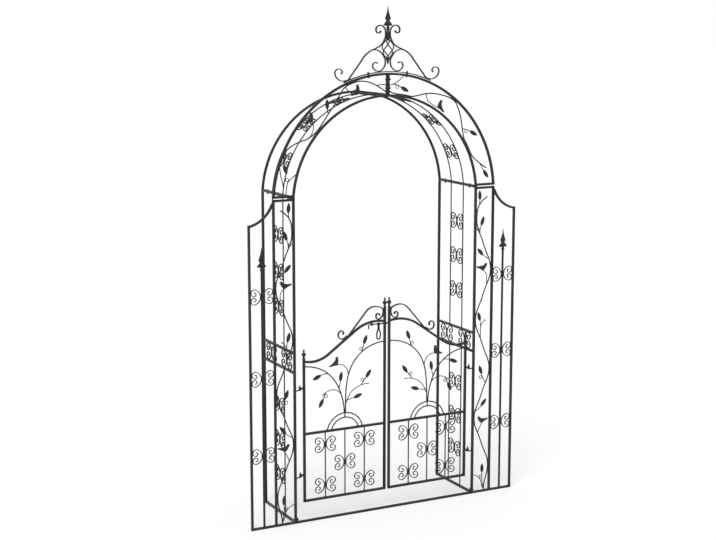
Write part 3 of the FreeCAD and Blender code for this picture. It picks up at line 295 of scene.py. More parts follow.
def seam(at, along, reach, square=True):
    """Closed line round the end of a bar or rod where it is welded on."""
    turn = Vector(along).to_track_quat("Z", "Y")
    count = 24
    line = []
    for k in range(count):
        angle = math.tau * (k + 0.5) / count
        x, y = math.cos(angle), math.sin(angle)
        stretch = reach / max(abs(x), abs(y)) if square else reach
        line.append((Vector(at) + turn @ Vector((x, y, 0)) * stretch, 1))
    return line


lowest, highest = (Vector(corner) for corner in cad_bounds)


def dressed(piece):
    """Welds ground flush where they would stand out past the outer faces of the arch."""
    for vertex in piece.data.vertices:
        for axis in range(3):
            vertex.co[axis] = min(max(vertex.co[axis], lowest[axis]), highest[axis])


def seams(name, body, lines, bead_radius=1.3):
    """Rippled weld beads along closed lines."""
    piece = linked(name, line_mesh(name, lines, closed=True))
    treated(piece, seam_tree, bead_radius=bead_radius * mm, material=weld_coat)
    dressed(piece)
    finished(piece, body, "coated_bar")


for side, word in sides:
    bars_from(word + "_side_frame", "arch")
    x = side * inner_post_x
    post_seams = [seam((x, 0, bar), (0, 0, 1), half)]
    for z in (half, *ladder_zs, springing_z - flat_thick / 2):
        post_seams += [seam((x, half, z), (0, 1, 0), half), seam((x, depth - half, z), (0, 1, 0), half)]
    seams(word + "_side_welds", "arch", post_seams)

# Side rods
# Two thin round rods a side carry the scrolls, below the ladder and above it.
# They are drawn wire, cut to length and welded at both ends.

rod_radius = 3.5
rod_ys = (depth / 3, depth * 2 / 3)
rod_fields = ((bar, ladder_zs[0] - half), (ladder_zs[1] + half, springing_z - flat_thick))
wire_coat = coated("wire_coat", (0.0080, 0.0072, 0.0074), (0.024, 0.0185, 0.0165), 0.45, (0.36, 0.60), 600,
                   0.0002)

wire_tree, wire_in = geometry_tree("bent_wire", ("Wire Radius", "Float", 0.0035), ("Corners", "Int", 10))
wire_size = maths(wire_tree, "MULTIPLY", wire_in.outputs["Wire Radius"], attribute(wire_tree, "thickness"))
closing(wire_tree, wire_in, swept(wire_tree, wire_in, wire_size, wire_in.outputs["Corners"]))


def wires(name, body, lines, radius, *nodes, corners=10, look=wire_coat, slot="coated_wire"):
    """Round wires or rods along lines, each a list of (point, share of the radius)."""
    piece = linked(name, line_mesh(name, lines))
    treated(piece, wire_tree, wire_radius=radius * mm, corners=corners, material=look)
    finished(piece, body, slot, *nodes)


def plain_line(points):
    """Line of one thickness for line_mesh."""
    return [(Vector(point), 1) for point in points]


def rod_ends(rods, radius):
    """Seams round both ends of upright rods."""
    return [seam(rod[end][0], (0, 0, 1), radius, square=False) for rod in rods for end in (0, -1)]


for side, word in sides:
    rods = [plain_line([(side * inner_post_x, y, z) for z in field]) for y in rod_ys for field in rod_fields]
    wires(word + "_side_rods_wire", "arch", rods, rod_radius, word + "_side_rods")
    seams(word + "_side_rod_welds", "arch", rod_ends(rods, rod_radius), 1.0)

# Side scrolls
# C scrolls stand back to back between the rods, and two smaller pairs fill the ladder.
# Each is bent cold from narrow flat strip, rolled tight at the ends, and spot welded where it touches.

scroll_thick = 4.0
scroll_deep = 7.0
touch = 0.1
curl_share = 0.34
back_bend = 75
side_scroll_step = 195.0
back_share = ((1 - curl_share * (1 + math.cos(math.radians(back_bend))))
              / (1 - math.cos(math.radians(back_bend))))
rise_share = (back_share * math.sin(math.radians(back_bend))
              + curl_share * (1 - math.sin(math.radians(back_bend))))


def bends(start, heading, steps, fineness=12):
    """Points of a line bent in the front plane; steps are (radius, degrees), a straight's (None, length)."""
    x, z = start
    angle = math.radians(heading)
    points = [(x, z)]
    for radius, turn in steps:
        if radius is None:
            x, z = x + turn * math.cos(angle), z + turn * math.sin(angle)
            points.append((x, z))
            continue
        side = 1 if turn > 0 else -1
        cx, cz = x - side * radius * math.sin(angle), z + side * radius * math.cos(angle)
        count = math.ceil(abs(turn) / fineness)
        for k in range(1, count + 1):
            now = angle + math.radians(turn) * k / count
            points.append((cx + side * radius * math.sin(now), cz - side * radius * math.cos(now)))
        angle += math.radians(turn)
        x, z = points[-1]
    return [Vector((x, 0, z)) for x, z in points]


def snubbed(line, knob, tip_length):
    """Line whose far end swells into a knob over tip_length and is rounded off."""
    run, result = 0, []
    backwards = line[::-1]
    for (point, share), (before, _) in zip(backwards, backwards[:1] + backwards):
        run += (point - before).length
        result.append((point, share * (1 + (knob - 1) * max(0, 1 - run / tip_length))))
    (end, share), (before, _) = result[:2]
    cap = (end - before).normalized() * tip_length * 0.3
    return result[:0:-1] + [(end, share * 0.92), (end + cap, share * 0.506)]


upper_half = snubbed(plain_line(bends((0, 0), 90, [
    (back_share, -back_bend), (curl_share, -190), (curl_share * 0.6, -130), (curl_share * 0.35, -90)])),
    1.3, 0.10)
lower_half = [(Vector((point.x, 0, -point.z)), share) for point, share in reversed(upper_half[1:])]
scroll_pattern = linked("scroll_pattern", line_mesh("scroll_pattern", [
    [(point / mm, share) for point, share in lower_half + upper_half]]))
curl_contact = max(upper_half, key=lambda spot: spot[0].x)[0]


def set_on_points(tree, tree_in):
    """Instances of the tree's pattern on the points of the incoming mesh, by their turn and size."""
    pattern = added(tree, "GeometryNodeObjectInfo", {"Object": tree_in.outputs["Pattern"]})
    instances = added(tree, "GeometryNodeInstanceOnPoints", {
        "Instance": pattern.outputs["Geometry"], "Rotation": attribute(tree, "turn", "QUATERNION"),
        "Scale": attribute(tree, "size")})
    return chained(tree, tree_in, "GeometryNodeMeshToPoints", instances)


def vector_maths(tree, kind, first, second):
    """Result of vector arithmetic on two sockets."""
    inputs = {0: first, "Scale" if kind == "SCALE" else 1: second}
    node = added(tree, "ShaderNodeVectorMath", inputs, operation=kind)
    return node.outputs["Value" if kind == "DOT_PRODUCT" else "Vector"]


corner_share = 0.16
crease_angle = 0.6


def strip_swept(tree, tree_in, line_node, facing):
    """Flat strip on edge along a line: Width runs along facing, the line's thickness scales Thick alone."""
    upright = added(tree, "GeometryNodeSetCurveNormal", {"Normal": facing}, mode="FREE")
    position = added(tree, "GeometryNodeInputPosition").outputs[0]
    centre = tree.nodes.new("GeometryNodeCaptureAttribute")
    for label, value in (("Centre", position), ("Facing", facing)):
        centre.capture_items.new("VECTOR", label)
        fed(tree, centre, {label: value})
    thick = tree_in.outputs["Thick"]
    section = added(tree, "GeometryNodeCurvePrimitiveQuadrilateral", {
        "Width": tree_in.outputs["Width"], "Height": thick})
    eased = added(tree, "GeometryNodeFilletCurve", {
        "Radius": maths(tree, "MULTIPLY", thick, corner_share)}, mode="POLY")
    sweep = added(tree, "GeometryNodeCurveToMesh", {
        "Fill Caps": True, "Profile Curve": chained(tree, section, eased).outputs["Curve"]})
    middle, across = centre.outputs["Centre"], centre.outputs["Facing"]
    out = vector_maths(tree, "SUBTRACT", position, middle)
    sideways = vector_maths(tree, "SCALE", across, vector_maths(tree, "DOT_PRODUCT", out, across))
    thickened = vector_maths(tree, "SCALE", vector_maths(tree, "SUBTRACT", out, sideways),
                             attribute(tree, "thickness"))
    placed = added(tree, "GeometryNodeSetPosition", {
        "Position": vector_maths(tree, "ADD", middle, vector_maths(tree, "ADD", sideways, thickened))})
    angle = added(tree, "GeometryNodeInputMeshEdgeAngle").outputs[0]
    edges = added(tree, "GeometryNodeSetShadeSmooth", {
        "Selection": maths(tree, "GREATER_THAN", angle, crease_angle), "Shade Smooth": False}, domain="EDGE")
    return chained(tree, line_node, "GeometryNodeMeshToCurve", upright, centre, sweep, placed,
                   "GeometryNodeSetShadeSmooth", edges)


scroll_tree, scroll_in = geometry_tree(
    "c_scrolls", ("Pattern", "Object", None), ("Thick", "Float", scroll_thick * mm),
    ("Width", "Float", scroll_deep * mm))
scroll_lines = chained(scroll_tree, set_on_points(scroll_tree, scroll_in), "GeometryNodeRealizeInstances")
turned_flat = added(scroll_tree, "FunctionNodeRotateVector", {
    "Vector": (0, 1, 0), "Rotation": attribute(scroll_tree, "turn", "QUATERNION")})
closing(scroll_tree, scroll_in, strip_swept(scroll_tree, scroll_in, scroll_lines, turned_flat.outputs[0]))


def point_mesh(name, spots):
    """Mesh of points; a spot is (place in millimetres, turn, size)."""
    mesh = bpy.data.meshes.new(name)
    mesh.from_pydata([Vector(at) * mm for at, turn, size in spots], [], [])
    turns = [part for at, turn, size in spots for part in turn]
    mesh.attributes.new("turn", "QUATERNION", "POINT").data.foreach_set("value", turns)
    sizes = [size for at, turn, size in spots]
    mesh.attributes.new("size", "FLOAT", "POINT").data.foreach_set("value", sizes)
    return mesh


def turn_to(across, up):
    """Turn that lays a pattern's x along across and its z along up."""
    across, up = Vector(across).normalized(), Vector(up).normalized()
    return Matrix((across, up.cross(across), up)).transposed().to_quaternion()


blob_tree, blob_in = geometry_tree("spot_welds", ("Seed", "Int", 4))
ball = added(blob_tree, "GeometryNodeMeshUVSphere", {"Segments": 8, "Rings": 5, "Radius": 1.0})
blob_turn, blob_stretch = (
    added(blob_tree, "FunctionNodeRandomValue", {
        0: (least, least, least), 1: (most, most, most), "Seed": blob_in.outputs["Seed"]},
        data_type="FLOAT_VECTOR").outputs[0] for least, most in ((0, 6.28), (0.75, 1.2)))
blobs = added(blob_tree, "GeometryNodeInstanceOnPoints", {
    "Instance": ball.outputs["Mesh"], "Rotation": blob_turn,
    "Scale": vector_maths(blob_tree, "MULTIPLY", blob_stretch, attribute(blob_tree, "size"))})
closing(blob_tree, blob_in, chained(blob_tree, blob_in, "GeometryNodeMeshToPoints", blobs,
                                    "GeometryNodeSetShadeSmooth"))
no_turn = (1, 0, 0, 0)


def spot_welds(name, body, places, radius):
    """Spot welds at places, a few dozen faces each."""
    piece = linked(name, point_mesh(name, [(at, no_turn, radius * mm) for at in places]))
    treated(piece, blob_tree, material=weld_coat)
    dressed(piece)
    finished(piece, body, "coated_wire")


front_hold = 2.6


def scrolls(name, body, pairs, node, back_hold=front_hold):
    """C scrolls back to back, each pair a (middle, across, up, width, gap between the backs).

    Their spot welds sit off the middle plane, by back_hold at the backs and front_hold at the curls.
    """
    sets = []
    for middle, across, up, width, gap in pairs:
        offset = Vector(across) * (gap + scroll_thick + touch) / 2
        sets += [(Vector(middle) + offset * way, Vector(across) * way, up, width) for way in (1, -1)]
    piece = linked(name, point_mesh(name, [
        (at, turn_to(across, up), width * mm) for at, across, up, width in sets]))
    treated(piece, scroll_tree, pattern=scroll_pattern, material=wire_coat)
    finished(piece, body, "coated_wire", node)
    places = []
    for at, across, up, width in sets:
        touches = [(at - across * (scroll_thick / 2), back_hold)]
        for way in (1, -1):
            reach = across * (curl_contact.x * width + scroll_thick / 2)
            touches.append((at + reach + up * (way * curl_contact.z * width), front_hold))
        facing = up.cross(across)
        places += [spot + facing * (way * hold) for spot, hold in touches for way in (1, -1)]
    spot_welds(name + "_welds", body, places, 1.9)


rod_room = (rod_ys[1] - rod_ys[0] - 2 * rod_radius) / 2
side_scroll_width = rod_room - scroll_thick - 1.5 * touch
ladder_scroll_width = ((ladder_zs[1] - ladder_zs[0] - bar - scroll_thick) / 2 - touch) / rise_share
up = Vector((0, 0, 1))
inwards = Vector((0, 1, 0))
for side, word in sides:
    x = side * inner_post_x
    pairs = [((x, depth / 2, sum(field) / 2 + k * side_scroll_step), inwards, up, side_scroll_width, 0)
             for field in rod_fields for k in (-1, 0, 1)]
    pairs += [((x, y, sum(ladder_zs) / 2), inwards, up, ladder_scroll_width, 0)
              for y in (depth / 4, depth * 3 / 4)]
    scrolls(word + "_side_scroll_strip", "arch", pairs, word + "_side_scrolls", scroll_deep / 2)

# Front frames
# A middle post a side stands on the foot bar of all front posts, tied to the inner post under the springing.
# Square steel bar, butt welded.

middle_post_x = 663.0
low_bar_z = 1740.75
for side, word in sides:
    bars_from(word + "_front_frame", "arch")
    foot_z = (side * middle_post_x, 0, bar)
    ends = [(side * x, 0, low_bar_z) for x in (inner_post_x + half, middle_post_x - half)]
    seams(word + "_front_welds", "arch",
          [seam(foot_z, (0, 0, 1), half)] + [seam(end, (1, 0, 0), half) for end in ends])

# Wings
# The outer post carries a hollow-curved rail that falls from the middle post.
# A round rod between the posts ends in a cast spear head, and three pairs of C scrolls sit on it.

wing_post_x = 801.0
wing_post_top = 1624.0
wing_rail_rise = 109.0
wing_rod_dia = 12.0
wing_rod_x = (middle_post_x + wing_post_x) / 2
spear_length = 137.0
spear_tip_z = 1504.0
wing_rod_top = spear_tip_z - spear_length
wing_scroll_shares = (0.286, 0.593, 0.9135)
wing_scroll_width = (wing_post_x - middle_post_x - bar - wing_rod_dia) / 2 - scroll_thick - 1.5 * touch
cast_coat = coated("cast_coat", (0.0080, 0.0072, 0.0072), (0.038, 0.029, 0.024), 0.6, (0.42, 0.68), 260,
                   0.0007)

# Half width and half thickness at shares of the spear's length below its tip; a blade's barbs hang outwards.
spear_rings = (
    (0.000, 0.005, 0.005), (0.012, 0.012, 0.011), (0.08, 0.021, 0.018), (0.16, 0.031, 0.025),
    (0.24, 0.052, 0.033), (0.32, 0.076, 0.040), (0.40, 0.104, 0.046), (0.455, 0.128, 0.049),
    (0.487, 0.133, 0.048), (0.500, 0.114, 0.047), (0.518, 0.088, 0.047), (0.545, 0.080, 0.048),
    (0.575, 0.094, 0.050), (0.62, 0.130, 0.052), (0.67, 0.170, 0.052), (0.705, 0.192, 0.049),
    (0.722, 0.195, 0.045), (0.735, 0.168, 0.041), (0.742, 0.108, 0.039), (0.752, 0.062, 0.038),
    (0.762, 0.043, 0.040))
collar_rings = (
    (0.040, 0.750), (0.041, 0.775), (0.060, 0.787), (0.066, 0.800), (0.066, 0.835), (0.058, 0.850),
    (0.050, 0.857), (0.058, 0.866), (0.060, 0.878), (0.052, 0.892), (0.044, 0.915), (0.038, 0.95))


def skinned(name, points, faces, crease=None, material=cast_coat, rimmed=False):
    """Closed smooth mesh of points in millimetres, sharp over crease degrees; rimmed bridges its open rim."""
    mesh = bpy.data.meshes.new(name)
    mesh.from_pydata([Vector(point) * mm for point in points], [], faces)
    shape = bmesh.new()
    shape.from_mesh(mesh)
    if rimmed:
        bmesh.ops.bridge_loops(shape, edges=[edge for edge in shape.edges if edge.is_boundary])
        bmesh.ops.remove_doubles(shape, verts=shape.verts, dist=0.01 * mm)
    bmesh.ops.recalc_face_normals(shape, faces=shape.faces)
    shape.to_mesh(mesh)
    shape.free()
    mesh.materials.append(material)
    mesh.shade_smooth()
    if crease:
        mesh.set_sharp_from_angle(angle=math.radians(crease))
    return mesh


def stacked(name, rings, material=cast_coat):
    """Closed mesh over rings of points, from the foot up, with a cap at each end."""
    count = len(rings[0])
    last = (len(rings) - 1) * count
    faces = [(first + k, first + (k + 1) % count, first + count + (k + 1) % count, first + count + k)
             for first in range(0, last, count) for k in range(count)]
    faces += [tuple(range(count))[::-1], tuple(range(last, last + count))]
    return skinned(name, [point for ring in rings for point in ring], faces, 42, material)


def turned(profile, count=20):
    """Rings of a turned shape; the profile is (radius, height) from the foot up."""
    return [[(r * math.cos(math.tau * k / count), r * math.sin(math.tau * k / count), h)
             for k in range(count)] for r, h in profile]


def blade_ring(width, thick, z):
    """Ring of a spear head: a rib on each broad face, hollow flanks and thin edges."""
    ring = []
    for k in range(24):
        angle = math.tau * k / 24
        c, s = math.cos(angle), math.sin(angle)
        hollow = 1 - 0.30 * math.sin(2 * angle) ** 2
        ring.append((width * c * hollow, thick * s * (hollow + 0.10 * abs(s) ** 3), z))
    return ring


def merged(name, meshes):
    """One mesh out of several, each still closed in itself."""
    shape = bmesh.new()
    for mesh in meshes:
        shape.from_mesh(mesh)
    result = bpy.data.meshes.new(name)
    shape.to_mesh(result)
    shape.free()
    for material in meshes[0].materials:
        result.materials.append(material)
    return result


def spear_mesh(name, foot_radius):
    """Cast head with two tiers of blades on a round collar, its tip at the origin."""
    blades = [blade_ring(w * spear_length, t * spear_length, -share * spear_length)
              for share, w, t in reversed(spear_rings)]
    collar = [(foot_radius + 0.2, -spear_length), (foot_radius + 0.6, -0.975 * spear_length)]
    collar += [(r * spear_length, -share * spear_length) for r, share in reversed(collar_rings)]
    return merged(name, [stacked("blades", blades), stacked("collar", turned(collar))])


def moved(mesh, at, turn=None):
    """Copy of a mesh put at a place in millimetres."""
    mesh = mesh.copy()
    if turn:
        mesh.transform(turn.to_matrix().to_4x4())
    mesh.transform(Matrix.Translation(Vector(at) * mm))
    return mesh


into_head = 2.0
wing_head = spear_mesh("wing_head", wing_rod_dia / 2)
for side, word in sides:
    bars_from(word + "_wing_frame", "arch")
    rod_x = side * wing_rod_x
    rod = plain_line([(rod_x, 0, bar), (rod_x, 0, wing_rod_top + into_head)])
    wires(word + "_wing_rod", "arch", [rod], wing_rod_dia / 2, word + "_wing_spear", corners=12)
    finished(linked(word + "_wing_head", moved(wing_head, (rod_x, 0, spear_tip_z))), "arch", "casting",
             word + "_wing_spear")
    pairs = [((rod_x, 0, bar + (wing_rod_top - bar) * share), (1, 0, 0), up, wing_scroll_width, wing_rod_dia)
             for share in wing_scroll_shares]
    scrolls(word + "_wing_scroll_strip", "arch", pairs, word + "_wing_scrolls")
    seams(word + "_wing_welds", "arch", [
        seam((side * wing_post_x, 0, bar), (0, 0, 1), half),
        seam((side * (middle_post_x + half), 0, wing_post_top - half + wing_rail_rise), (1, 0, 0), half),
        seam((side * (wing_post_x - half), 0, wing_post_top - half), (1, 0, 0), half),
        seam((rod_x, 0, bar), (0, 0, 1), wing_rod_dia / 2, square=False)])

# Arch halves
# Three square arcs a half, rolled cold: an inner and an outer one at the front, one at the back.
# Drilled end bars at the springing and at the crown bolt the halves down and together.

arc_z = springing_z - 42.0
inner_radius = math.hypot(inner_post_x, springing_z - arc_z)
outer_radius = math.hypot(middle_post_x, springing_z - arc_z)
crown_face = 1.5
crown_bar_thick = 8.0
high_bar_top = 1765.25


def outward(degrees):
    """Direction at an angle above the horizontal; it runs along the arcs with 90 degrees more or less."""
    angle = math.radians(degrees)
    return Vector((math.cos(angle), 0, math.sin(angle)))


def around(radius, degrees, y=0.0):
    """A point at a radius and an angle above the horizontal, about the centre of the arcs."""
    return outward(degrees) * radius + Vector((0, y, arc_z))


for side, word in sides:
    for name in ("arch_inner_arc", "arch_outer_arc", "arch_back_arc", "arch_end_bars"):
        bars_from(word + "_" + name, "arch")
    feet = [(middle_post_x, 0, high_bar_top), (inner_post_x, depth, springing_z + 1),
            (inner_post_x, 0, springing_z + 1)]
    seams(word + "_arch_welds", "arch", [seam((side * x, y, z), (0, 0, 1), half) for x, y, z in feet], 1.2)
    crown_x = side * (crown_face + crown_bar_thick / 2)
    crown_zs = (arc_z + inner_radius + half + 0.5, arc_z + outer_radius - half - 0.5)
    spot_welds(word + "_crown_welds", "arch", [(crown_x, y, z) for z in crown_zs for y in (3.5, -3.5)], 2.4)

# Roof rods and scrolls
# The side rods carry on over the roof as two curved rods, with three pairs of C scrolls a half.
# The rods are round wire, welded between the flats at the springing and the crown; the scrolls are strip.

roof_scroll_angles = (23.5, 46.5, 70.0)
roof_low = math.degrees(math.asin((springing_z + flat_thick - arc_z) / inner_radius))
roof_high = math.degrees(math.acos((crown_face + flat_thick) / inner_radius))


def mirrored(points, side):
    """Points on one side of the middle: 1 leaves them and -1 mirrors them."""
    return [Vector((side * x, y, z)) for x, y, z in points]


for side, word in sides:
    rods = []
    for y in rod_ys:
        angles = [roof_low + (roof_high - roof_low) * k / 40 for k in range(41)]
        rods.append(plain_line(mirrored([around(inner_radius, degrees, y) for degrees in angles], side)))
    wires(word + "_roof_rod_wire", "arch", rods, rod_radius, word + "_roof_rods")
    spot_welds(word + "_roof_rod_welds", "arch", [line[end][0] for line in rods for end in (0, -1)], 4.2)
    pairs = []
    for degrees in roof_scroll_angles:
        middle, uphill = mirrored([around(inner_radius, degrees, depth / 2), outward(degrees + 90)], side)
        pairs.append((middle, inwards, uphill, side_scroll_width - 2 * touch, 0))
    scrolls(word + "_roof_scroll_strip", "arch", pairs, word + "_roof_scrolls", scroll_deep / 2)

# Front vines
# A wire stem waves up between the inner and the middle post, with twigs that end in leaves, rings and birds.
# Leaves and birds are thin castings; every twig is spot welded to the stem.

vine_wire = 7.0
twig_share = 0.75
leaf_length = 54.0
leaf_width = 22.0
leaf_thick = 5.0
leaf_grip = 8.0
bird_length = 78.0
bird_thick = 6.0
bird_clear = 3.5
tail_share = 0.55
ring_radius = 10.5
ring_hole = 6.5
wave_first = 0.083
wave_step = 0.1638


def arc_points(start, tangent, end, fineness=9):
    """Points after start on the arc that leaves start along tangent and ends at end."""
    chord = end - start
    across = tangent - chord * (tangent.dot(chord) / chord.dot(chord))
    if across.length < 0.002:
        return [end]
    turn = tangent.angle(chord)
    radius = chord.length / (2 * math.sin(turn))
    sideways = (chord - tangent * chord.dot(tangent)).normalized()
    count = max(2, math.ceil(math.degrees(2 * turn) / fineness))
    return [start + tangent * (radius * math.sin(2 * turn * k / count))
            + sideways * (radius * (1 - math.cos(2 * turn * k / count))) for k in range(1, count + 1)]


def end_tangent(chord, neighbour):
    """Direction at the free end of a chord, so that the chord's arc meets neighbour at its other end."""
    chord = chord.normalized()
    return (chord * (2 * chord.dot(neighbour)) - neighbour).normalized()


def smooth(points, first=None, last=None, held=None):
    """Smooth line through points, two arcs a span; held fixes directions by point number."""
    points = [Vector(point) for point in points]
    steps = [b - a for a, b in zip(points, points[1:])]
    tangents = [(a / a.dot(a) + b / b.dot(b)).normalized() for a, b in zip(steps, steps[1:])]
    for number, direction in (held or {}).items():
        tangents[number - 1] = Vector(direction).normalized()
    if tangents:
        first = first or end_tangent(steps[0], tangents[0])
        last = last or end_tangent(steps[-1], tangents[-1])
    else:
        first = first or steps[0].normalized()
        last = last or end_tangent(steps[0], first)
    tangents = [Vector(first)] + tangents + [Vector(last)]
    line = [points[0]]
    for start, end, t0, t1 in zip(points, points[1:], tangents, tangents[1:]):
        span = end - start
        along = span.dot(t0 + t1)
        room = 2 * (1 - t0.dot(t1))
        if room < 1e-6:
            reach = span.dot(span) / (2 * along)
        else:
            reach = (math.sqrt(along * along + room * span.dot(span)) - along) / room
        joint = (start + t0 * reach + end - t1 * reach) * 0.5
        line += arc_points(start, t0, joint)
        line += arc_points(joint, (joint - start - t0 * reach).normalized(), end)
    return line


def on_line(line, guess):
    """The point of a line that is nearest to a guess."""
    best = None
    for a, b in zip(line, line[1:]):
        step = b - a
        share = min(max((guess - a).dot(step) / step.dot(step), 0), 1)
        spot = a + step * share
        if best is None or (spot - guess).length < (best - guess).length:
            best = spot
    return best


def two_faced(name, columns, rows, place_of):
    """Casting with two matching faces; place_of(u, v, way) gives a point."""
    points = [place_of(i / columns, 2 * j / rows - 1, way)
              for way in (1, -1) for i in range(columns + 1) for j in range(rows + 1)]
    faces = []
    for i in range(columns):
        for j in range(rows):
            a = i * (rows + 1) + j
            quad = (a, a + rows + 1, a + rows + 2, a + 1)
            faces += [quad, tuple(len(points) // 2 + k for k in reversed(quad))]
    return skinned(name, points, faces, rimmed=True)


def leaf_place(u, v, way):
    """Pointed leaf with a raised midrib and veins that run forward from it; u runs from stalk to tip."""
    outline = math.sin(math.pi * min(max(u, 0.0), 1.0) ** 0.92) ** 0.68 if 0 < u < 1 else 0
    stalk = 1.9 * (1 - u) ** 2
    wide = max(outline * leaf_width / 2, 0.25) + (stalk if u < 0.3 else 0) * (1 - u / 0.3) * 0.6
    rib = math.exp(-(v / 0.16) ** 2) * (1 - 0.55 * u)
    vein = max(0, math.cos(math.tau * (6.5 * u - 1.1 * abs(v)))) ** 3 * (1 - abs(v)) * 0.45
    body = (1 - v * v) ** 0.5 * (0.55 + 0.55 * outline)
    high = 0.35 + body + 0.95 * rib + vein * outline
    return (-leaf_grip + leaf_length * u, way * min(high, leaf_thick / 2), wide * v)


leaf_pattern = linked("leaf_pattern", two_faced("leaf_pattern", 20, 12, leaf_place))

# Outline of the bird beside its feet, as shares of its length, x ahead and z up: from the tail over back and
# beak round to the belly, each arc as (a point that it passes, its end, number of points).
bird_arcs = (
    ((-0.30, 0.30), (-0.05, 0.33), 12), ((0.07, 0.355), (0.16, 0.43), 6), ((0.25, 0.505), (0.34, 0.44), 8),
    ((0.385, 0.43), (0.435, 0.405), 4), ((0.385, 0.385), (0.335, 0.36), 4), ((0.295, 0.23), (0.20, 0.11), 8),
    ((0.03, -0.02), (-0.16, 0.07), 12), ((-0.33, 0.14), (-0.49, 0.205), 10))


def through(a, b, c, count):
    """Points after a on the arc from a through b to c."""
    (ax, az), (bx, bz), (cx, cz) = a, b, c
    a2, b2, c2 = (x * x + z * z for x, z in (a, b, c))
    det = 2 * (ax * (bz - cz) + bx * (cz - az) + cx * (az - bz))
    ux = (a2 * (bz - cz) + b2 * (cz - az) + c2 * (az - bz)) / det
    uz = (a2 * (cx - bx) + b2 * (ax - cx) + c2 * (bx - ax)) / det
    start, middle, end = (math.atan2(z - uz, x - ux) for x, z in (a, b, c))
    full = (end - start) % math.tau
    full -= math.tau if (middle - start) % math.tau > full else 0
    radius = math.hypot(ax - ux, az - uz)
    angles = [start + full * k / count for k in range(1, count + 1)]
    return [(ux + radius * math.cos(angle), uz + radius * math.sin(angle)) for angle in angles]


def bird_relief(x, z, rim):
    """Height of the bird's side over its middle plane, in millimetres; rim is the distance to its outline."""
    body = 2.0 * math.sqrt(max(0, 1 - (1 - min(rim / 7.0, 1)) ** 2))
    wx, wz = (x + 0.10) / 0.30, (z - 0.195 + 0.25 * (x + 0.10)) / 0.075
    wing = max(0, 1 - wx * wx - wz * wz) ** 0.5
    feather = math.cos(math.tau * (z * 22 + x * 9)) * wing if x < 0.06 else 0
    quills = math.cos(math.tau * z * 28) * min(1, max(0, (-0.2 - x) * 8)) * min(rim / 3, 1)
    eye = math.exp(-((x - 0.275) ** 2 + (z - 0.415) ** 2) / 0.00022)
    return min(0.55 + body + 0.75 * wing + 0.14 * feather + 0.12 * quills + 0.5 * eye, bird_thick / 2 + 0.4)


def rim_distance(spot, rim):
    """Distance from a spot inside an outline to it, or None for a spot outside."""
    inside, nearest = False, math.inf
    for a, b in zip(rim, rim[1:] + rim[:1]):
        edge = b - a
        if (a.y > spot.y) != (b.y > spot.y) and spot.x < a.x + edge.x * (spot.y - a.y) / edge.y:
            inside = not inside
        share = min(max((spot - a).dot(edge) / edge.dot(edge), 0), 1)
        nearest = min(nearest, (a + edge * share - spot).length)
    return nearest if inside else None


def bird_mesh(name):
    """Flat casting of a bird, relief on both sides, over a grid of points inside its outline."""
    outline = [(-tail_share, 0.33)]
    for middle, end, count in bird_arcs:
        outline += through(outline[-1], middle, end, count)
    tail_notch = (-0.505, 0.27)
    rim = [Vector(point) for point in outline + [tail_notch]]
    step, row_height = 2.2 / bird_length, 0.87
    spots, heights = list(rim), [0.0] * len(rim)
    for i in range(-30, 30):
        for j in range(-5, 22):
            spot = Vector(((i + 0.5 * (j % 2)) * step, j * step * row_height))
            distance = rim_distance(spot, rim)
            if distance and distance > step * 0.45:
                spots.append(spot)
                heights.append(distance * bird_length)
    count = len(rim)
    flat, _, faces, *_ = delaunay_2d_cdt(spots, [], [list(range(count))], 1, 1e-6)
    points = [(spot.x * bird_length, way * bird_relief(spot.x, spot.y, height), spot.y * bird_length)
              for way in (1, -1) for spot, height in zip(flat, heights)]
    total = len(flat)
    skin = [tuple(face) for face in faces] + [tuple(total + k for k in reversed(face)) for face in faces]
    skin += [(k, (k + 1) % count, total + (k + 1) % count, total + k) for k in range(count)]
    return skinned(name, points, skin, 50)


bird_pattern = linked("bird_pattern", bird_mesh("bird_pattern"))
ring_middle = (ring_radius + ring_hole) / 2
ring_wire = (ring_radius - ring_hole) / 2
ring_line = plain_line([(x, 0, z) for x, z, _ in turned([(ring_middle, 0)])[0]])
ring_pattern = linked("ring_pattern", line_mesh("ring_pattern", [ring_line], closed=True))
treated(ring_pattern, wire_tree, wire_radius=ring_wire * mm, corners=8, material=wire_coat)
bud_profile = ((0.6, -4.6), (1.9, -4.2), (2.6, -3.4), (3.6, -1.4), (4.0, 0.6), (3.5, 2.4), (2.2, 3.8),
               (0.8, 4.5))
bud_pattern = linked("bud_pattern", stacked("bud_pattern", turned(bud_profile, 12)))

set_tree, set_in = geometry_tree("set_out", ("Pattern", "Object", None))
closing(set_tree, set_in, set_on_points(set_tree, set_in))


def set_out(name, body, pattern, spots, look, slot, *nodes):
    """Copies of a pattern at spots, each (place, turn)."""
    piece = linked(name, point_mesh(name, [(at, turn, 1) for at, turn in spots]))
    treated(piece, set_tree, pattern=pattern, material=look)
    finished(piece, body, slot, *nodes)


def facing_turn(ahead, side):
    """Turn that lays a flat pattern's x along ahead in the front plane; side is -1 to put its back below."""
    ahead = Vector((ahead[0], 0, ahead[2])).normalized()
    above = Vector((-ahead.z, 0, ahead.x)) * side
    return turn_to(ahead, above)


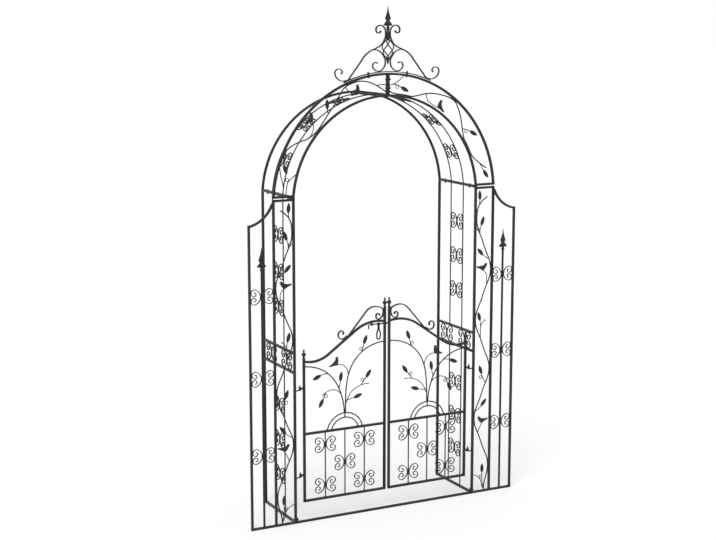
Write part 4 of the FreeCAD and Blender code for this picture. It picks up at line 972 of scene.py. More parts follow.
class Vine:
    """What grows on one vine; place turns its spots into points, and mirror is -1 for the left side."""

    def __init__(self, place, mirror):
        self.place, self.mirror = place, mirror
        self.lines, self.welds = [], []
        self.leaves, self.rings, self.buds, self.birds = [], [], [], []

    def at(self, spots):
        return [self.place(*spot) for spot in spots]

    def flip(self, point):
        return mirrored([point], self.mirror)[0]

    def weld(self, *spots):
        self.welds += [self.flip(point) for point in self.at(spots)]

    def wire(self, line, share=1.0, end_share=None):
        """Adds a wire, which may thin out from share to end_share, and gives its line back."""
        fall = (end_share or share) - share
        self.lines.append([(self.flip(p), share + fall * k / (len(line) - 1)) for k, p in enumerate(line)])
        return line

    def shoot(self, stem, spots, last=None):
        """Side shoot whose first point is moved onto the stem."""
        points = self.at(spots)
        root = on_line(stem, points[0])
        self.welds.append(self.flip(root))
        return self.wire(smooth([root] + points[1:], last=last), twig_share, twig_share * 0.85)

    def leafy(self, stem, spots):
        """Shoot with a leaf on its end; the last spot is what the leaf aims at."""
        foot, tip = self.at(spots[-2:])
        aim = (tip - foot).normalized()
        self.shoot(stem, spots[:-1], aim)
        self.leaves.append((self.flip(foot), facing_turn(self.flip(aim), 1)))

    def budded(self, stem, spots):
        line = self.shoot(stem, spots)
        aim = self.flip(line[-1] - line[-2]).normalized()
        self.buds.append((self.flip(line[-1]), turn_to(aim.cross(inwards), aim)))

    def perched(self, stem, spots, facing, side):
        """Shoot with a bird on its end; side is -1 to put the bird's back below."""
        feet = self.flip(self.shoot(stem, spots)[-1])
        self.birds.append((feet, facing_turn(self.flip(Vector(facing)), side * self.mirror)))
        self.welds.append(feet)

    def ringed(self, spots):
        self.rings += [(self.flip(point), no_turn) for point in self.at(spots)]

    def made(self, name, body):
        """Puts the vine on its body, in place of the node of its name."""
        wires(name + "_stems", body, self.lines, vine_wire / 2, name)
        for word, pattern, spots, look, slot in (
                ("_leaves", leaf_pattern, self.leaves, cast_coat, "casting"),
                ("_rings", ring_pattern, self.rings, wire_coat, "coated_wire"),
                ("_buds", bud_pattern, self.buds, cast_coat, "casting"),
                ("_birds", bird_pattern, self.birds, cast_coat, "casting")):
            if spots:
                set_out(name + word, body, pattern, spots, look, slot, name)
        spot_welds(name + "_welds", body, self.welds, 3.1)


panel_middle = (inner_post_x + middle_post_x) / 2
panel_reach = (middle_post_x - inner_post_x - bar - vine_wire) / 2 - touch
panel_low = bar + touch
panel_high = low_bar_z - half
perch = 1 - (tail_share * bird_length + bird_clear - vine_wire / 2 - touch) / panel_reach


def in_panel(share_x, share_z):
    """Share_x is -1 at the inner post and 1 at the middle post, share_z runs from foot to springing."""
    return Vector((panel_middle + panel_reach * share_x, 0, panel_low + (panel_high - panel_low) * share_z))


stem_spots = [(0.45, 0)]
upright = {}
for k in range(6):
    upright[len(stem_spots)] = up
    stem_spots.append((-1 if k % 2 else 1, wave_first + k * wave_step))
    if k < 5:
        stem_spots.append((0, wave_first + (k + 0.5) * wave_step))
stem_spots += [(-0.68, 0.948), (-0.18, 0.9633), (0.42, 0.9736)]
front_leaves = [
    [(-0.62, 0.947), (-0.60, 0.9685), (-0.66, 0.996)],
    [(-0.55, 0.853), (-0.53, 0.868), (-0.33, 0.886), (0.02, 0.913)],
    [(0.57, 0.769), (0.33, 0.778), (-0.18, 0.7885), (-0.88, 0.8095)],
    [(-0.33, 0.512), (-0.28, 0.530), (-0.26, 0.5496), (-0.39, 0.5745), (-0.66, 0.6015)],
    [(0.41, 0.3643), (0.12, 0.381), (-0.07, 0.397), (-0.40, 0.4225)],
    [(-0.57, 0.2685), (-0.31, 0.279), (0.03, 0.2887), (0.60, 0.3065)],
    [(0.44, 0.004), (0.31, 0.0193), (0.22, 0.0395), (0.22, 0.0625), (0.19, 0.0905)],
]
front_rings = [(-0.76, 0.870), (-0.17, 0.383), (0.0, 0.046)]
front_birds = [
    ([(0.42, 0.690), (0.48, 0.704), (0.43, 0.722), (-perch, 0.7365)], 1),
    ([(-0.35, 0.199), (-0.22, 0.213), (perch, 0.229)], -1),
]
post_tie = [(0.40, 0.003), (0.2, 0.014), (0.03, 0.033), (-0.36, 0.0466), (-1.15, 0.0555)]
fork = [(-0.26, 0.545), (-0.24, 0.5525), (-0.04, 0.563), (0.33, 0.571)]
for side, word in sides:
    vine = Vine(in_panel, side)
    stem = vine.wire(smooth(vine.at(stem_spots), first=up, held=upright))
    vine.weld(*((1.06 * stem_spots[number][0], stem_spots[number][1]) for number in upright))
    vine.shoot(stem, post_tie)
    for spots in front_leaves:
        vine.leafy(stem, spots)
    vine.budded(smooth(vine.at(front_leaves[3][:4])), fork)
    for spots, facing in front_birds:
        vine.perched(stem, spots, (facing, 0, 0), facing)
    vine.ringed(front_rings)
    vine.made(word + "_front_vine", "arch")

# Arch vines
# One wave of wire runs on over the crown between the inner and the outer arc, so the two halves differ.
# It carries leaves, rings and three birds.

vine_low = inner_radius + half + vine_wire / 2 + touch
vine_high = outer_radius - half - vine_wire / 2 - touch
crown_side = crown_face + crown_bar_thick + touch


def in_arch(degrees, share):
    """Angle above the horizontal; share is 0 at the inner arc and 1 at the outer arc."""
    return around(vine_low + (vine_high - vine_low) * share, degrees)


def at_crown(share):
    """Where a wire of the vine starts, in the crown bar."""
    return math.degrees(math.acos(crown_side / (vine_low + (vine_high - vine_low) * share))), share


right_wires = [
    ([at_crown(0.14), (84.0, 0), (76.0, 0), (71.0, 0.20), (67.3, 0.44), (63.2, 0.64), (59.2, 0.80),
      (51.8, 1), (46.8, 0.80), (42.0, 0.50), (37.3, 0.20), (31.8, 0), (26.8, 0), (21.2, 0.06),
      (16.7, 0.36), (12.9, 0.75)], 1),
    ([at_crown(0.47), (86.4, 0.56), (83.7, 0.78), (81.8, 1.04)], twig_share),
]
right_leaves = [
    (1, [(87.3, 0.53), (84.8, 0.51), (81.8, 0.38), (77.4, 0.23)]),
    (0, [(38.1, 0.26), (35.9, 0.45), (33.7, 0.60), (29.2, 0.92)]),
    (0, [(16.6, 0.37), (13.9, 0.47), (11.6, 0.56), (8.4, 0.75)]),
]
right_rings = [(84.6, 0.395), (35.7, 0.36)]
right_birds = [(0, [(67.4, 0.43), (65.2, 0.15), (61.5, 0.05), (57.4, 0.08)], (-0.45, 0, 0.89), -1)]
left_wires = [
    ([at_crown(0.10), (85.1, 0.41), (81.0, 0.71), (75.8, 0.95), (71.0, 1), (66.9, 0.94), (63.4, 0.73),
      (59.3, 0.45), (54.0, 0.24), (48.4, 0.08), (42.8, 0), (36.8, 0.16), (31.9, 0.58), (28.4, 0.86),
      (25.2, 1), (22.2, 0.95), (20.3, 0.86)], 1),
    ([at_crown(0.50), (86.5, 0.53), (83.6, 0.50)], twig_share),
    ([(4.6, 0.52), (7.0, 0.535), (10.4, 0.60), (14.8, 0.86), (18.4, 1.04)], twig_share),
    ([(4.6, 0.36), (7.2, 0.355), (9.9, 0.36), (12.2, 0.34), (14.6, 0.15), (17.0, -0.04)], twig_share),
]
left_leaves = [
    (0, [(53.2, 0.21), (54.6, 0.52), (56.8, 0.93)]),
    (0, [(22.2, 0.95), (20.6, 0.87), (19.2, 0.80), (16.8, 0.57)]),
]
left_rings = [(13.2, 0.415)]
left_birds = [
    (0, [(37.5, 0.13), (41.2, 0.20), (43.8, 0.42), (44.6, 0.60)], (-0.73, 0, 0.68), -1),
    (0, [(67.6, 0.95), (70.2, 0.42), (72.0, 0.31), (73.3, 0.36)], (-0.70, 0, 0.71), -1),
]


def arch_vine(side, word, arch_wires, leaves, rings, birds):
    """Wires are (spots, share of the stem's size); leaves and birds name the wire that they grow from."""
    vine = Vine(in_arch, side)
    stems = []
    for spots, share in arch_wires:
        touching = [(number, *spot) for number, spot in enumerate(spots) if spot[1] in (0, 1)]
        held = {number: outward(degrees - 90) for number, degrees, height in touching}
        stems.append(vine.wire(smooth(vine.at(spots), held=held), share))
        vine.weld(*((degrees, 1.04 if height else -0.04) for number, degrees, height in touching))
    for number, spots in leaves:
        vine.leafy(stems[number], spots)
    for number, spots, facing, back in birds:
        vine.perched(stems[number], spots, facing, back)
    vine.ringed(rings)
    vine.made(word + "_arch_vine", "arch")


arch_vine(1, "right", right_wires, right_leaves, right_rings, right_birds)
arch_vine(-1, "left", left_wires, left_leaves, left_rings, left_birds)

# Crest
# A flat strip, curved to the outer arc, carries two swept arms and four curls of flat strip on edge.
# In the middle a cone, a basket of four twisted wires, a collared shaft and a cast spear stand in a column.

spacer_height = 3.5
strip_thick = 5.0
strip_top = outer_radius + half + spacer_height + strip_thick
crest_strip_half = 260.0
strip_width = 12.0
arm_thick = 6.0
curl_thick = 5.0
crown_top = arc_z + strip_top
cone_low = crown_top + 36.0
basket_low = cone_low + 29.0
basket_height = 102.0
basket_high = basket_low + basket_height
shaft_radius = 10.0
shaft_height = 32.0
shaft_top = basket_high + shaft_height
basket_radius = 36.0
basket_wire = 6.5
basket_turn = 150.0
bars_from("crest_strip", "arch")

basket_foot = shaft_radius - basket_wire / 2 - 1
basket_lines = []
for k in range(4):
    spots = []
    for n in range(7):
        reach = basket_foot + (basket_radius - basket_wire / 2 - basket_foot) * math.sin(math.pi * n / 6)
        angle = math.radians(45 + 90 * k + basket_turn * n / 6)
        spots.append((reach * math.cos(angle), reach * math.sin(angle), basket_low + basket_height * n / 6))
    basket_lines.append(plain_line(smooth(spots, up, up)))
wires("crest_basket_wire", "arch", basket_lines, basket_wire / 2, "crest_basket", corners=12, look=cast_coat)

# Radius and height: the cone's from the foot of the basket, the shaft's from its top.
cone_rings = (
    (2.2, -29.6), (3.0, -28.4), (4.6, -21), (6.9, -11), (9.0, -4), (10.6, -2), (11.2, 0), (10.9, 3),
    (9.4, 5), (6.0, 7))
shaft_rings = (
    (6.0, -7), (9.4, -5), (10.9, -3), (11.2, 0), (10.2, 2.4), (9.6, 5), (9.6, 12), (10.8, 14), (11.0, 17),
    (9.8, 19), (9.5, 26), (10.6, 29), (10.6, 33), (9.6, 35))
crest_core = [moved(spear_mesh("crest_head", 7.5), (0, 0, shaft_top + spear_length))]
for rings, base in ((cone_rings, basket_low), (shaft_rings, basket_high)):
    crest_core.append(stacked("core", turned([(radius, base + height) for radius, height in rings], 24)))
finished(linked("crest_core", merged("crest_core", crest_core)), "arch", "casting", "crest_spear")

shaft_side = shaft_radius + arm_thick / 2 + touch
shaft_contact = basket_high + shaft_height * 0.65


def over_strip(share):
    """Angle above the horizontal at a share of the strip's half width."""
    return 90 - math.degrees(math.asin(share * crest_strip_half / strip_top))


def in_crest(share_x, share_z):
    """Share_x runs from the shaft to the strip's end, share_z from the crown to the arm's contact."""
    return Vector((shaft_side + (crest_strip_half - shaft_side) * share_x, 0,
                   crown_top + (shaft_contact - crown_top) * share_z))


arm_angle = over_strip(0.93)
arm_spots = [
    (0.6055, 0.25), (0.475, 0.463), (0.365, 0.56), (0.219, 0.64), (0.111, 0.72), (0.037, 0.846),
    (0, 1), (0.016, 1.16), (0.13, 1.26), (0.227, 1.18), (0.187, 1.053), (0.1216, 1.096)]
curl_in_spots = [(0.321, 0.58), (0.17, 0.567), (0.065, 0.45), (0.006, 0.262), (0.045, 0.095)]
curl_out_spots = [(0.262, 0.041), (0.311, 0.15), (0.262, 0.243), (0.203, 0.227)]
arm_points = [around(strip_top - arm_thick, arm_angle)] + [in_crest(*spot) for spot in arm_spots]
arm_heading = (arm_points[1] - arm_points[0]).normalized()
arm_line = smooth(arm_points, first=arm_heading, held={1: arm_heading, 7: up})
arm_line[0] = arm_line[0] + arm_heading * ((arm_thick - 2) / arm_heading.dot(outward(arm_angle)))
curl_angle = over_strip(0.195)
curl_points = [in_crest(*spot) for spot in curl_in_spots]
curl_points[0] = on_line(arm_line, curl_points[0])
curl_points.append(around(strip_top + curl_thick / 2 + touch, curl_angle))
curl_points += [in_crest(*spot) for spot in curl_out_spots]
curl_line = smooth(curl_points, held={5: outward(curl_angle - 90)})
volute_angle = over_strip(0.94)
volute_foot = around(strip_top + curl_thick / 2 + touch, volute_angle)
volute_radius = 48.0
volute_line = bends((volute_foot.x, volute_foot.z), volute_angle - 90, [
    (volute_radius, 95), (volute_radius * 0.46, 160), (volute_radius * 0.23, 90)])


strip_tree, strip_in = geometry_tree(
    "bent_strip", ("Thick", "Float", arm_thick * mm), ("Width", "Float", strip_width * mm),
    ("Facing", "Vector", inwards))
closing(strip_tree, strip_in, strip_swept(strip_tree, strip_in, strip_in, strip_in.outputs["Facing"]))


def strips(name, body, lines, node):
    """Flat strips on edge along lines, their width from front to back."""
    piece = linked(name, line_mesh(name, lines))
    treated(piece, strip_tree, material=wire_coat)
    finished(piece, body, "coated_wire", node)


def scroll_end(line, side, thick=arm_thick):
    """Strip line on one side of the middle, with a snub knob at its far end."""
    return [(point, share * thick / arm_thick)
            for point, share in snubbed(plain_line(mirrored(line, side)), 1.5, thick * 2)]


crest_lines = []
crest_spots = []
for side, word in sides:
    crest_lines.append(scroll_end(arm_line, side))
    crest_lines += [scroll_end(line, side, curl_thick) for line in (curl_line, volute_line)]
    crest_spots += mirrored([around(strip_top + 1, arm_angle), around(strip_top + 1, curl_angle), volute_foot,
                             curl_points[0], (shaft_radius, 0, shaft_contact)], side)
strips("crest_scroll_strip", "arch", crest_lines, "crest_scrolls")
spot_welds("crest_scroll_welds", "arch", crest_spots, 3.8)

# Bolts
# Hexagon bolts with domed cap nuts hold the halves, the crest and the threshold.
# They are plated and wear the same dark coat, rubbed on the corners by the spanner.

bolt_coat = coated("bolt_coat", (0.020, 0.018, 0.018), (0.11, 0.10, 0.095), 0.6, (0.28, 0.48), 700, 0.0001,
                   0.5)
shank_radius = 3.0
hex_radius = 10.0 / math.sqrt(3)
crest_bolt_x = 113.0
threshold_bolt_z = 22.0
flat_bolt_ys = (65.0, depth - 65.0)


def hexagon(radius, height):
    """Ring of 24 points round a hexagon."""
    corners = [Vector((radius * math.cos(math.tau * k / 6), radius * math.sin(math.tau * k / 6), height))
               for k in range(7)]
    return [first.lerp(second, k / 4) for first, second in zip(corners, corners[1:]) for k in range(4)]


def hex_rings(flat_height, dome):
    """Hexagon with eased lower edge and a turned dome."""
    return [hexagon(hex_radius * 0.93, 0), hexagon(hex_radius, 0.4), hexagon(hex_radius, flat_height),
            *turned(dome, 24)]


head_rings = hex_rings(3.1, ((4.9, 4.0), (3.6, 3.9), (0.4, 3.7)))
nut_rings = hex_rings(4.1, ((4.7, 5.0), (4.5, 5.2), (4.3, 6.6), (3.6, 8.0), (2.4, 9.0), (1.1, 9.4),
                            (0.3, 9.45)))
head_pattern = linked("head_pattern", stacked("head_pattern", head_rings, bolt_coat))
nut_pattern = linked("nut_pattern", stacked("nut_pattern", nut_rings, bolt_coat))


def bolts(name, bolt_list, node):
    """Bolts as (place under the head, direction, grip)."""
    heads, nuts, shanks = [], [], []
    for number, (at, along, grip) in enumerate(bolt_list):
        at, along = Vector(at), Vector(along).normalized()
        twist = Matrix.Rotation(math.radians(17 * number), 3, "Z").to_quaternion()
        heads.append((at, (-along).to_track_quat("Z", "Y") @ twist))
        nuts.append((at + along * grip, along.to_track_quat("Z", "Y") @ twist))
        shanks.append(plain_line([at, at + along * grip]))
    set_out(name + "_heads", "arch", head_pattern, heads, bolt_coat, "fastener", node)
    set_out(name + "_nuts", "arch", nut_pattern, nuts, bolt_coat, "fastener", node)
    wires(name + "_shanks", "arch", shanks, shank_radius, node, look=bolt_coat, slot="fastener")


crown_low = arc_z + inner_radius + half
crown_high = arc_z + outer_radius - half
arch_bolts = []
for side, word in sides:
    for y in flat_bolt_ys:
        arch_bolts.append(((side * inner_post_x, y, springing_z + flat_thick), (0, 0, -1), 2 * flat_thick))
for share in (0.325, 0.78):
    head = (-crown_face - crown_bar_thick, 0, crown_low + (crown_high - crown_low) * share)
    arch_bolts.append((head, (1, 0, 0), 2 * crown_bar_thick + 2 * crown_face))
for y in flat_bolt_ys:
    arch_bolts.append(((-crown_face - flat_thick, y, arc_z + inner_radius), (1, 0, 0),
                       2 * flat_thick + 2 * crown_face))
bolts("arch_bolt", arch_bolts, "arch_bolts")

crest_angle = math.degrees(math.asin(crest_bolt_x / outer_radius))
crest_bolt_angles = (90 - crest_angle, 90 + crest_angle)
crest_grip = bar + spacer_height + strip_thick + 2 * touch
bolts("crest_bolt", [(around(outer_radius - half - touch, a), outward(a), crest_grip)
                     for a in crest_bolt_angles], "crest_bolts")
spacer = stacked("spacer", turned(((3.2, 0.1), (5.6, 0.1), (6.0, 0.5), (6.0, 2.9), (5.6, 3.3), (3.2, 3.3))),
                 bolt_coat)
spacers = merged("crest_spacers", [
    moved(spacer, around(outer_radius + half, a), outward(a).to_track_quat("Z", "Y"))
    for a in crest_bolt_angles])
finished(linked("crest_spacers", spacers), "arch", "fastener", "crest_bolts")

# Threshold
# A square bar lies between the inner posts, with a drilled tab welded up at each end and bolted to the post.
# It ties the sides together at the foot, under the gates.

bars_from("threshold_bar", "arch")
threshold_tab = 3.0
bolts("threshold_bolt", [
    ((side * (inner_post_x + half), 0, threshold_bolt_z), (-side, 0, 0), bar + threshold_tab)
    for side, word in sides], "threshold_bolts")

# Hinge pins
# Each leaf hangs on two upright pins on welded brackets, one below the other on the inner post.
# Turned steel, coated with the frame and rubbed bright-brown where the eyes turn.

tab_face = inner_post_x - half
hinge_zs = (252.0, 728.0)
bracket_half = 6.0
for side, word in sides:
    bars_from(word + "_hinge_pins", "arch", "fastener", 0.7)
    brackets = [seam((side * tab_face, 0, z), (1, 0, 0), bracket_half) for z in hinge_zs]
    seams(word + "_hinge_welds", "arch", brackets, 1.0)

# Gate frames
# Each leaf has a hinge post with two eyes, a meeting stile, a bottom rail and a middle rail.
# A swept top rail climbs from the hinge post to the stile; all is square bar, welded.

stile_x = 13.5
hinge_post_x = 496.0
bay_low = stile_x + half
bay_high = hinge_post_x - half
bay_width = bay_high - bay_low
gate_bottom_z = 117.0
mid_rail_z = 486.0
valley_z = 875.0
rail_rise = 183.0
rail_slope = 34.9
valley_inset = 41.0
crest_inset = 44.5
crest_z = valley_z + rail_rise
crest_x = bay_low + crest_inset
valley_x = bay_high - valley_inset
slope = math.radians(rail_slope)
both_radii = (valley_x - crest_x - rail_rise / math.tan(slope)) * math.sin(slope) / (1 - math.cos(slope))
valley_radius = both_radii * 0.436
crest_radius = both_radii - valley_radius
slope_run = (rail_rise - both_radii * (1 - math.cos(slope))) / math.sin(slope)
valley_start = math.degrees(math.asin(valley_inset / valley_radius))
rail_z = valley_z + valley_radius * (1 - math.cos(math.radians(valley_start)))
stile_top = crest_z + 77.0
hinge_post_top = rail_z + 20.0
stile_rail_z = crest_z - crest_radius + math.sqrt(crest_radius ** 2 - crest_inset ** 2)
for side, word in sides:
    body = "gate_" + word
    bars_from(word + "_gate_frame", body)
    bars_from(word + "_gate_top_rail", body)
    rail_ends = [(side * x, 0, z) for x in (bay_low, bay_high) for z in (gate_bottom_z, mid_rail_z)]
    rail_ends += [(side * bay_low, 0, stile_rail_z), (side * bay_high, 0, rail_z)]
    seams(word + "_gate_welds", body, [seam(end, (1, 0, 0), half) for end in rail_ends])

# Long scrolls
# An S of flat strip on edge rides on each top rail: curled head at the stile, straight arm, curled tail.
# Bent cold, snub at both ends and welded where it touches.

slope_start = bends((bay_high, rail_z), 180 + valley_start, [(valley_radius, -valley_start - rail_slope)])[-1]
uphill = Vector((-math.cos(slope), 0, math.sin(slope)))
rail_normal = Vector((math.sin(slope), 0, math.cos(slope)))
arm_gap = arm_thick / 2 + touch
rest_share = 0.725
rail_rest = slope_start + uphill * (slope_run * rest_share) + rail_normal * (half + arm_gap)
head_length = 114.0
head_height = 71.0
head_spots = [
    (0.20, 0.31), (0.29, 0.44), (0.39, 0.24), (0.26, 0), (0, 0.55), (0.44, 1), (0.80, 0.84), (1, 0.52)]
head_points = [Vector((bay_low + arm_gap + head_length * x, 0, crest_z + half + arm_gap + head_height * z))
               for x, z in head_spots]
head_points.append(rail_rest - rail_normal * (2 * arm_gap))
arm_down = (head_points[-1] - head_points[-2]).normalized()
head_line = smooth(head_points, last=arm_down, held={3: (-1, 0, 0), 4: up, 7: arm_down})
tail_run = 20.0
tail_radius = 24.0
tail_line = bends((rail_rest.x, rail_rest.z), -rail_slope, [
    (None, tail_run), (tail_radius, 180), (tail_radius * 0.55, 150)])
for side, word in sides:
    lines = [scroll_end(line, side) for line in (head_line[::-1], tail_line)]
    strips(word + "_gate_scroll_arm", "gate_" + word, lines, word + "_gate_top_scroll")
    touching = [(bay_low + touch, 0, head_points[4].z), (head_points[3].x, 0, crest_z + half),
                rail_rest - rail_normal * arm_gap]
    spot_welds(word + "_gate_scroll_arm_welds", "gate_" + word, mirrored(touching, side), 3.4)

# Gate rods and hoops
# Three round rods stand between bottom and middle rail, and two half-round hoops on the middle rail.
# A short stub ties the hoops at their top, under the vines.

hoop_wire = 7.0
hoop_radii = (108.0, 83.0)
bay_middle = (bay_low + bay_high) / 2
rail_top = mid_rail_z + half
hoop_drop = 26.0
hoop_z = rail_top - hoop_drop
rod_xs = [bay_low + bay_width * k / 4 for k in (1, 2, 3)]
for side, word in sides:
    rods = [plain_line([(side * x, 0, z) for z in (gate_bottom_z + half, mid_rail_z - half)]) for x in rod_xs]
    hoops = []
    for radius in hoop_radii:
        start = math.asin(hoop_drop / radius)
        angles = [start + (math.pi - 2 * start) * k / 32 for k in range(33)]
        hoops.append(plain_line(mirrored([(bay_middle + radius * math.cos(angle), 0,
                                           hoop_z + radius * math.sin(angle)) for angle in angles], side)))
    stub = plain_line([(side * bay_middle, 0, hoop_z + radius) for radius in hoop_radii])
    wires(word + "_gate_rod_wire", "gate_" + word, rods + hoops + [stub], hoop_wire / 2, word + "_gate_rods")
    seams(word + "_gate_rod_welds", "gate_" + word,
          rod_ends(rods, rod_radius) + rod_ends(hoops, hoop_wire / 2), 1.0)

# Gate scrolls
# Five pairs of C scrolls sit back to back on the rods of each leaf, as dice show a five.

gate_scroll_width = 58.0 - scroll_thick
gate_scroll_step = 113.0
field_middle_z = (gate_bottom_z + mid_rail_z) / 2
for side, word in sides:
    pairs = [((side * x, 0, field_middle_z + k * gate_scroll_step), (1, 0, 0), up, gate_scroll_width,
              2 * rod_radius) for x, steps in zip(rod_xs, ((-1, 1), (0,), (-1, 1))) for k in steps]
    scrolls(word + "_gate_scroll_strip", "gate_" + word, pairs, word + "_gate_scrolls")

# Gate vines
# Two wire stems rise side by side from the hoop and part, one to each post.
# Twigs with leaves, rings, buds and one bird branch off them.

vine_foot = hoop_z + hoop_radii[0] + hoop_wire / 2 + touch
valley_share = 0.614
vine_span = (valley_z - half - vine_foot) / valley_share
bay_reach = bay_width / 2 - touch
beside = (vine_wire + touch) / 2 / bay_reach


def in_bay(share_x, share_z):
    """Share_x is -1 at the meeting stile and 1 at the hinge post, share_z starts at the top of the hoop."""
    return Vector((bay_middle + bay_reach * share_x, 0, vine_foot + vine_span * share_z))


main_spots = [
    (beside, -0.006), (0.037, 0.108), (0.096, 0.219), (0.193, 0.329), (0.383, 0.452), (0.616, 0.531),
    (0.827, 0.567), (1.01, 0.579)]
stile_spots = [
    (-beside, -0.006), (-0.020, 0.14), (-0.037, 0.28), (-0.095, 0.435), (-0.235, 0.575), (-0.45, 0.680),
    (-0.70, 0.742), (-1.01, 0.769)]
low_spots = [
    (-0.02, 0.085), (-0.095, 0.175), (-0.19, 0.235), (-0.34, 0.280), (-0.47, 0.297), (-0.60, 0.300)]
arch_spots = [(0.09, 0.21), (0.175, 0.254), (0.325, 0.277), (0.455, 0.262), (0.555, 0.232)]
bird_spots = [(-0.09, 0.425), (-0.045, 0.505), (0.05, 0.548), (0.20, 0.556)]
main_leaves = [
    [(0.42, 0.466), (0.54, 0.468), (0.63, 0.454), (0.82, 0.415)],
    [(0.15, 0.288), (0.125, 0.335), (0.11, 0.378), (0.08, 0.482)]]
arch_leaf = [(0.475, 0.258), (0.53, 0.212), (0.56, 0.172), (0.67, 0.071)]
stile_leaf = [(-0.43, 0.673), (-0.475, 0.735), (-0.495, 0.775), (-0.57, 0.872)]
low_leaves = [
    [(-0.06, 0.135), (-0.15, 0.147), (-0.26, 0.158), (-0.46, 0.190)],
    [(-0.42, 0.292), (-0.50, 0.347), (-0.56, 0.382), (-0.69, 0.472)]]
bird_angle = math.radians(34)
for side, word in sides:
    vine = Vine(in_bay, side)
    main_stem = vine.wire(smooth(vine.at(main_spots), first=up))
    stile_stem = vine.wire(smooth(vine.at(stile_spots), first=up))
    vine.weld((0, 0), (0.995, 0.579), (-0.995, 0.769), (0, 0.03))
    vine.budded(main_stem, arch_spots)
    vine.budded(stile_stem, low_spots)
    for stem, leaves in ((main_stem, main_leaves), (smooth(vine.at(arch_spots)), [arch_leaf]),
                         (stile_stem, [stile_leaf]), (smooth(vine.at(low_spots)), low_leaves)):
        for spots in leaves:
            vine.leafy(stem, spots)
    vine.ringed(((0.475, 0.213), (-0.415, 0.712), (-0.452, 0.352)))
    vine.perched(stile_stem, bird_spots, (-math.cos(bird_angle), 0, math.sin(bird_angle)), -1)
    vine.made(word + "_gate_vine", "gate_" + word)

# Finials
# Small cast urns with a button on top close both posts of each leaf.

finial_rings = (
    (0.13, 0.0), (0.135, 0.03), (0.12, 0.05), (0.105, 0.09), (0.125, 0.15), (0.175, 0.23), (0.225, 0.32),
    (0.248, 0.40), (0.252, 0.45), (0.24, 0.50), (0.205, 0.545), (0.15, 0.585), (0.10, 0.63), (0.075, 0.67),
    (0.082, 0.71), (0.108, 0.75), (0.118, 0.80), (0.112, 0.86), (0.09, 0.92), (0.055, 0.97), (0.01, 0.995))
finial_height = 48.0
finial = stacked("finial", turned([(r * finial_height, h * finial_height) for r, h in finial_rings], 24))
for side, word in sides:
    pair = merged(word + "_finials", [moved(finial, (side * stile_x, 0, stile_top)),
                                      moved(finial, (side * hinge_post_x, 0, hinge_post_top))])
    finished(linked(word + "_finials", pair), "gate_" + word, "casting", word + "_gate_finials")

# Latch
# A round bolt with a bent-down finger slides through an eye under the left rail and a ferrule on the stile.
# A cast drop handle is fixed on it.

latch_drop = 10.0
rail_under = crest_z - crest_radius + math.sqrt((crest_radius - half) ** 2 - crest_inset ** 2)
latch_z = rail_under - latch_drop + rod_radius
latch_tip = 6.5
latch_finger_x = -112.0
finger_radius = 9.0
finger_length = 24.0
latch_line = plain_line(bends((latch_tip, latch_z), 180, [
    (None, latch_tip - latch_finger_x - finger_radius), (finger_radius, 90),
    (None, finger_length - finger_radius)], 9))
start, end = latch_line[0][0], latch_line[-1][0]
rounded_tip = [(start, 0.62), (start - Vector((1.0, 0, 0)), 0.92), (start - Vector((2.4, 0, 0)), 1)]
rounded_finger = [(end + up * 2.0, 1), (end + up * 0.8, 0.9), (end, 0.6)]
latch_line = rounded_tip + latch_line[1:-1] + rounded_finger
wires("latch_rod", "latch_bolt", [latch_line], rod_radius, "latch_bolt", corners=14, slot="fastener")
bars_from("latch_guides", "gate_left", "fastener", 0.6)

handle_x = -51.0
handle_wire = 8.0
handle_length = 88.0
handle_width = 30.0
loop_low = latch_z - handle_length + handle_wire / 2
loop_half = (handle_width - handle_wire) / 2
neck = handle_wire * 0.4
handle_side = smooth([
    (neck, 0, latch_z - 7.9), (neck, 0, latch_z - 27.9), (loop_half, 0, loop_low + 27.0), (0, 0, loop_low)],
    Vector((0, 0, -1)), Vector((-1, 0, 0)), {1: (0.12, 0, -1)})
handle_line = plain_line([(handle_x + point.x, 0, point.z) for point in handle_side])
handle_line += plain_line([(handle_x - point.x, 0, point.z) for point in reversed(handle_side[:-1])])
wires("latch_handle_loop", "latch_bolt", [handle_line], handle_wire / 2, "latch_handle", corners=16,
      look=cast_coat, slot="casting")
boss_rings = turned((
    (3.7, -7.0), (6.6, -7.0), (7.6, -6.2), (8.0, -4.6), (7.4, -3.4), (7.2, 0), (7.4, 3.4), (8.0, 4.6),
    (7.6, 6.2), (6.6, 7.0), (3.7, 7.0)), 24)
boss = moved(stacked("handle_boss", boss_rings), (handle_x, 0, latch_z),
             Vector((1, 0, 0)).to_track_quat("Z", "Y"))
finished(linked("latch_handle_boss", boss), "latch_bolt", "casting", "latch_handle")

for pattern in (scroll_pattern, leaf_pattern, bird_pattern, ring_pattern, bud_pattern, head_pattern,
                nut_pattern):
    bpy.data.objects.remove(pattern)

# Floor
# The arch stands on a plain pale studio floor that runs out to white.

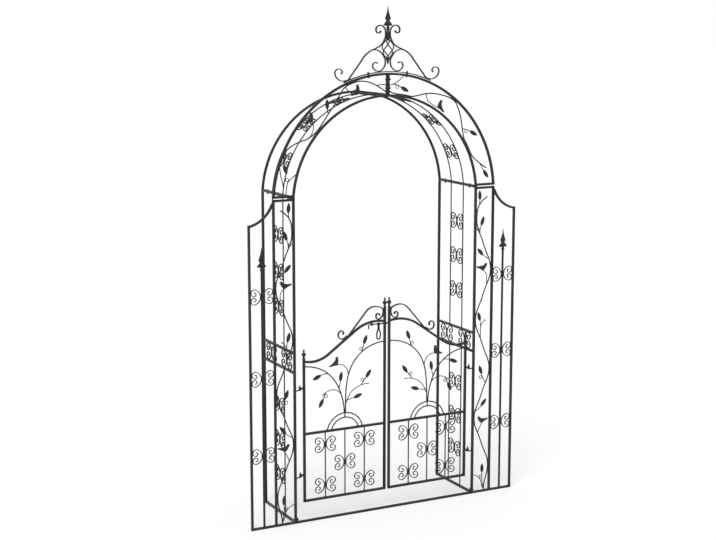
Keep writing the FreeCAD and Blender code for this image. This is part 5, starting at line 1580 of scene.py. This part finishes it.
floor_half = 60.0
floor_mesh = bpy.data.meshes.new("floor")
floor_corners = [(-floor_half, -floor_half, 0), (floor_half, -floor_half, 0),
                 (floor_half, floor_half, 0), (-floor_half, floor_half, 0)]
floor_mesh.from_pydata(floor_corners, [], [(0, 1, 2, 3)])
floor = linked("floor", floor_mesh)


def seen_rays(tree):
    """1 for rays that show the surroundings: from the camera, off gloss or through glass."""
    path = tree.nodes.new("ShaderNodeLightPath")
    total = path.outputs["Is Camera Ray"]
    for label in ("Is Glossy Ray", "Is Transmission Ray"):
        total = maths(tree, "MAXIMUM", total, path.outputs[label])
    return total


floor_paint = bpy.data.materials.new("studio_floor")
floor_paint.use_nodes = True
floor_tree = floor_paint.node_tree
fed(floor_tree, floor_tree.nodes["Principled BSDF"], {
    "Base Color": (0.80, 0.80, 0.80, 1), "Roughness": 0.9, "Specular IOR Level": 0.1,
    "Emission Color": (1, 1, 1, 1),
    "Emission Strength": maths(floor_tree, "MULTIPLY", seen_rays(floor_tree), 0.30)})
floor_mesh.materials.append(floor_paint)

# Studio
# A white room gives most of the light, and a broad soft lamp high on the left gives the rest.

world = bpy.data.worlds.new("studio")
bpy.context.scene.world = world
world.use_nodes = True
world_tree = world.node_tree
fed(world_tree, world_tree.nodes["Background"], {
    "Color": (1, 1, 1, 1), "Strength": ramp(world_tree, seen_rays(world_tree), 0, 1, 0.50, 1.0)})

soft_lamp = bpy.data.lights.new("soft_lamp", "SUN")
soft_lamp.energy = 1.6
soft_lamp.angle = math.radians(30)
lamp = linked("soft_lamp", soft_lamp)
lamp.rotation_euler = Vector((0.55, 0.60, -1.05)).to_track_quat("-Z", "Y").to_euler()

# Camera
# It stands where the photograph was taken: left of the gate, above eye height, with a long lens.

photo_width = 716
focal_pixels = 1509
camera_data = bpy.data.cameras.new("camera")
camera_data.sensor_width = 36
camera_data.lens = focal_pixels / photo_width * camera_data.sensor_width
camera = linked("camera", camera_data)
camera.location = (-3.795, -6.992, 2.737)
camera.rotation_euler = (math.radians(90 - 10.03), 0, math.radians(-27.37))
bpy.context.scene.camera = camera
bpy.context.scene.view_settings.view_transform = "Standard"
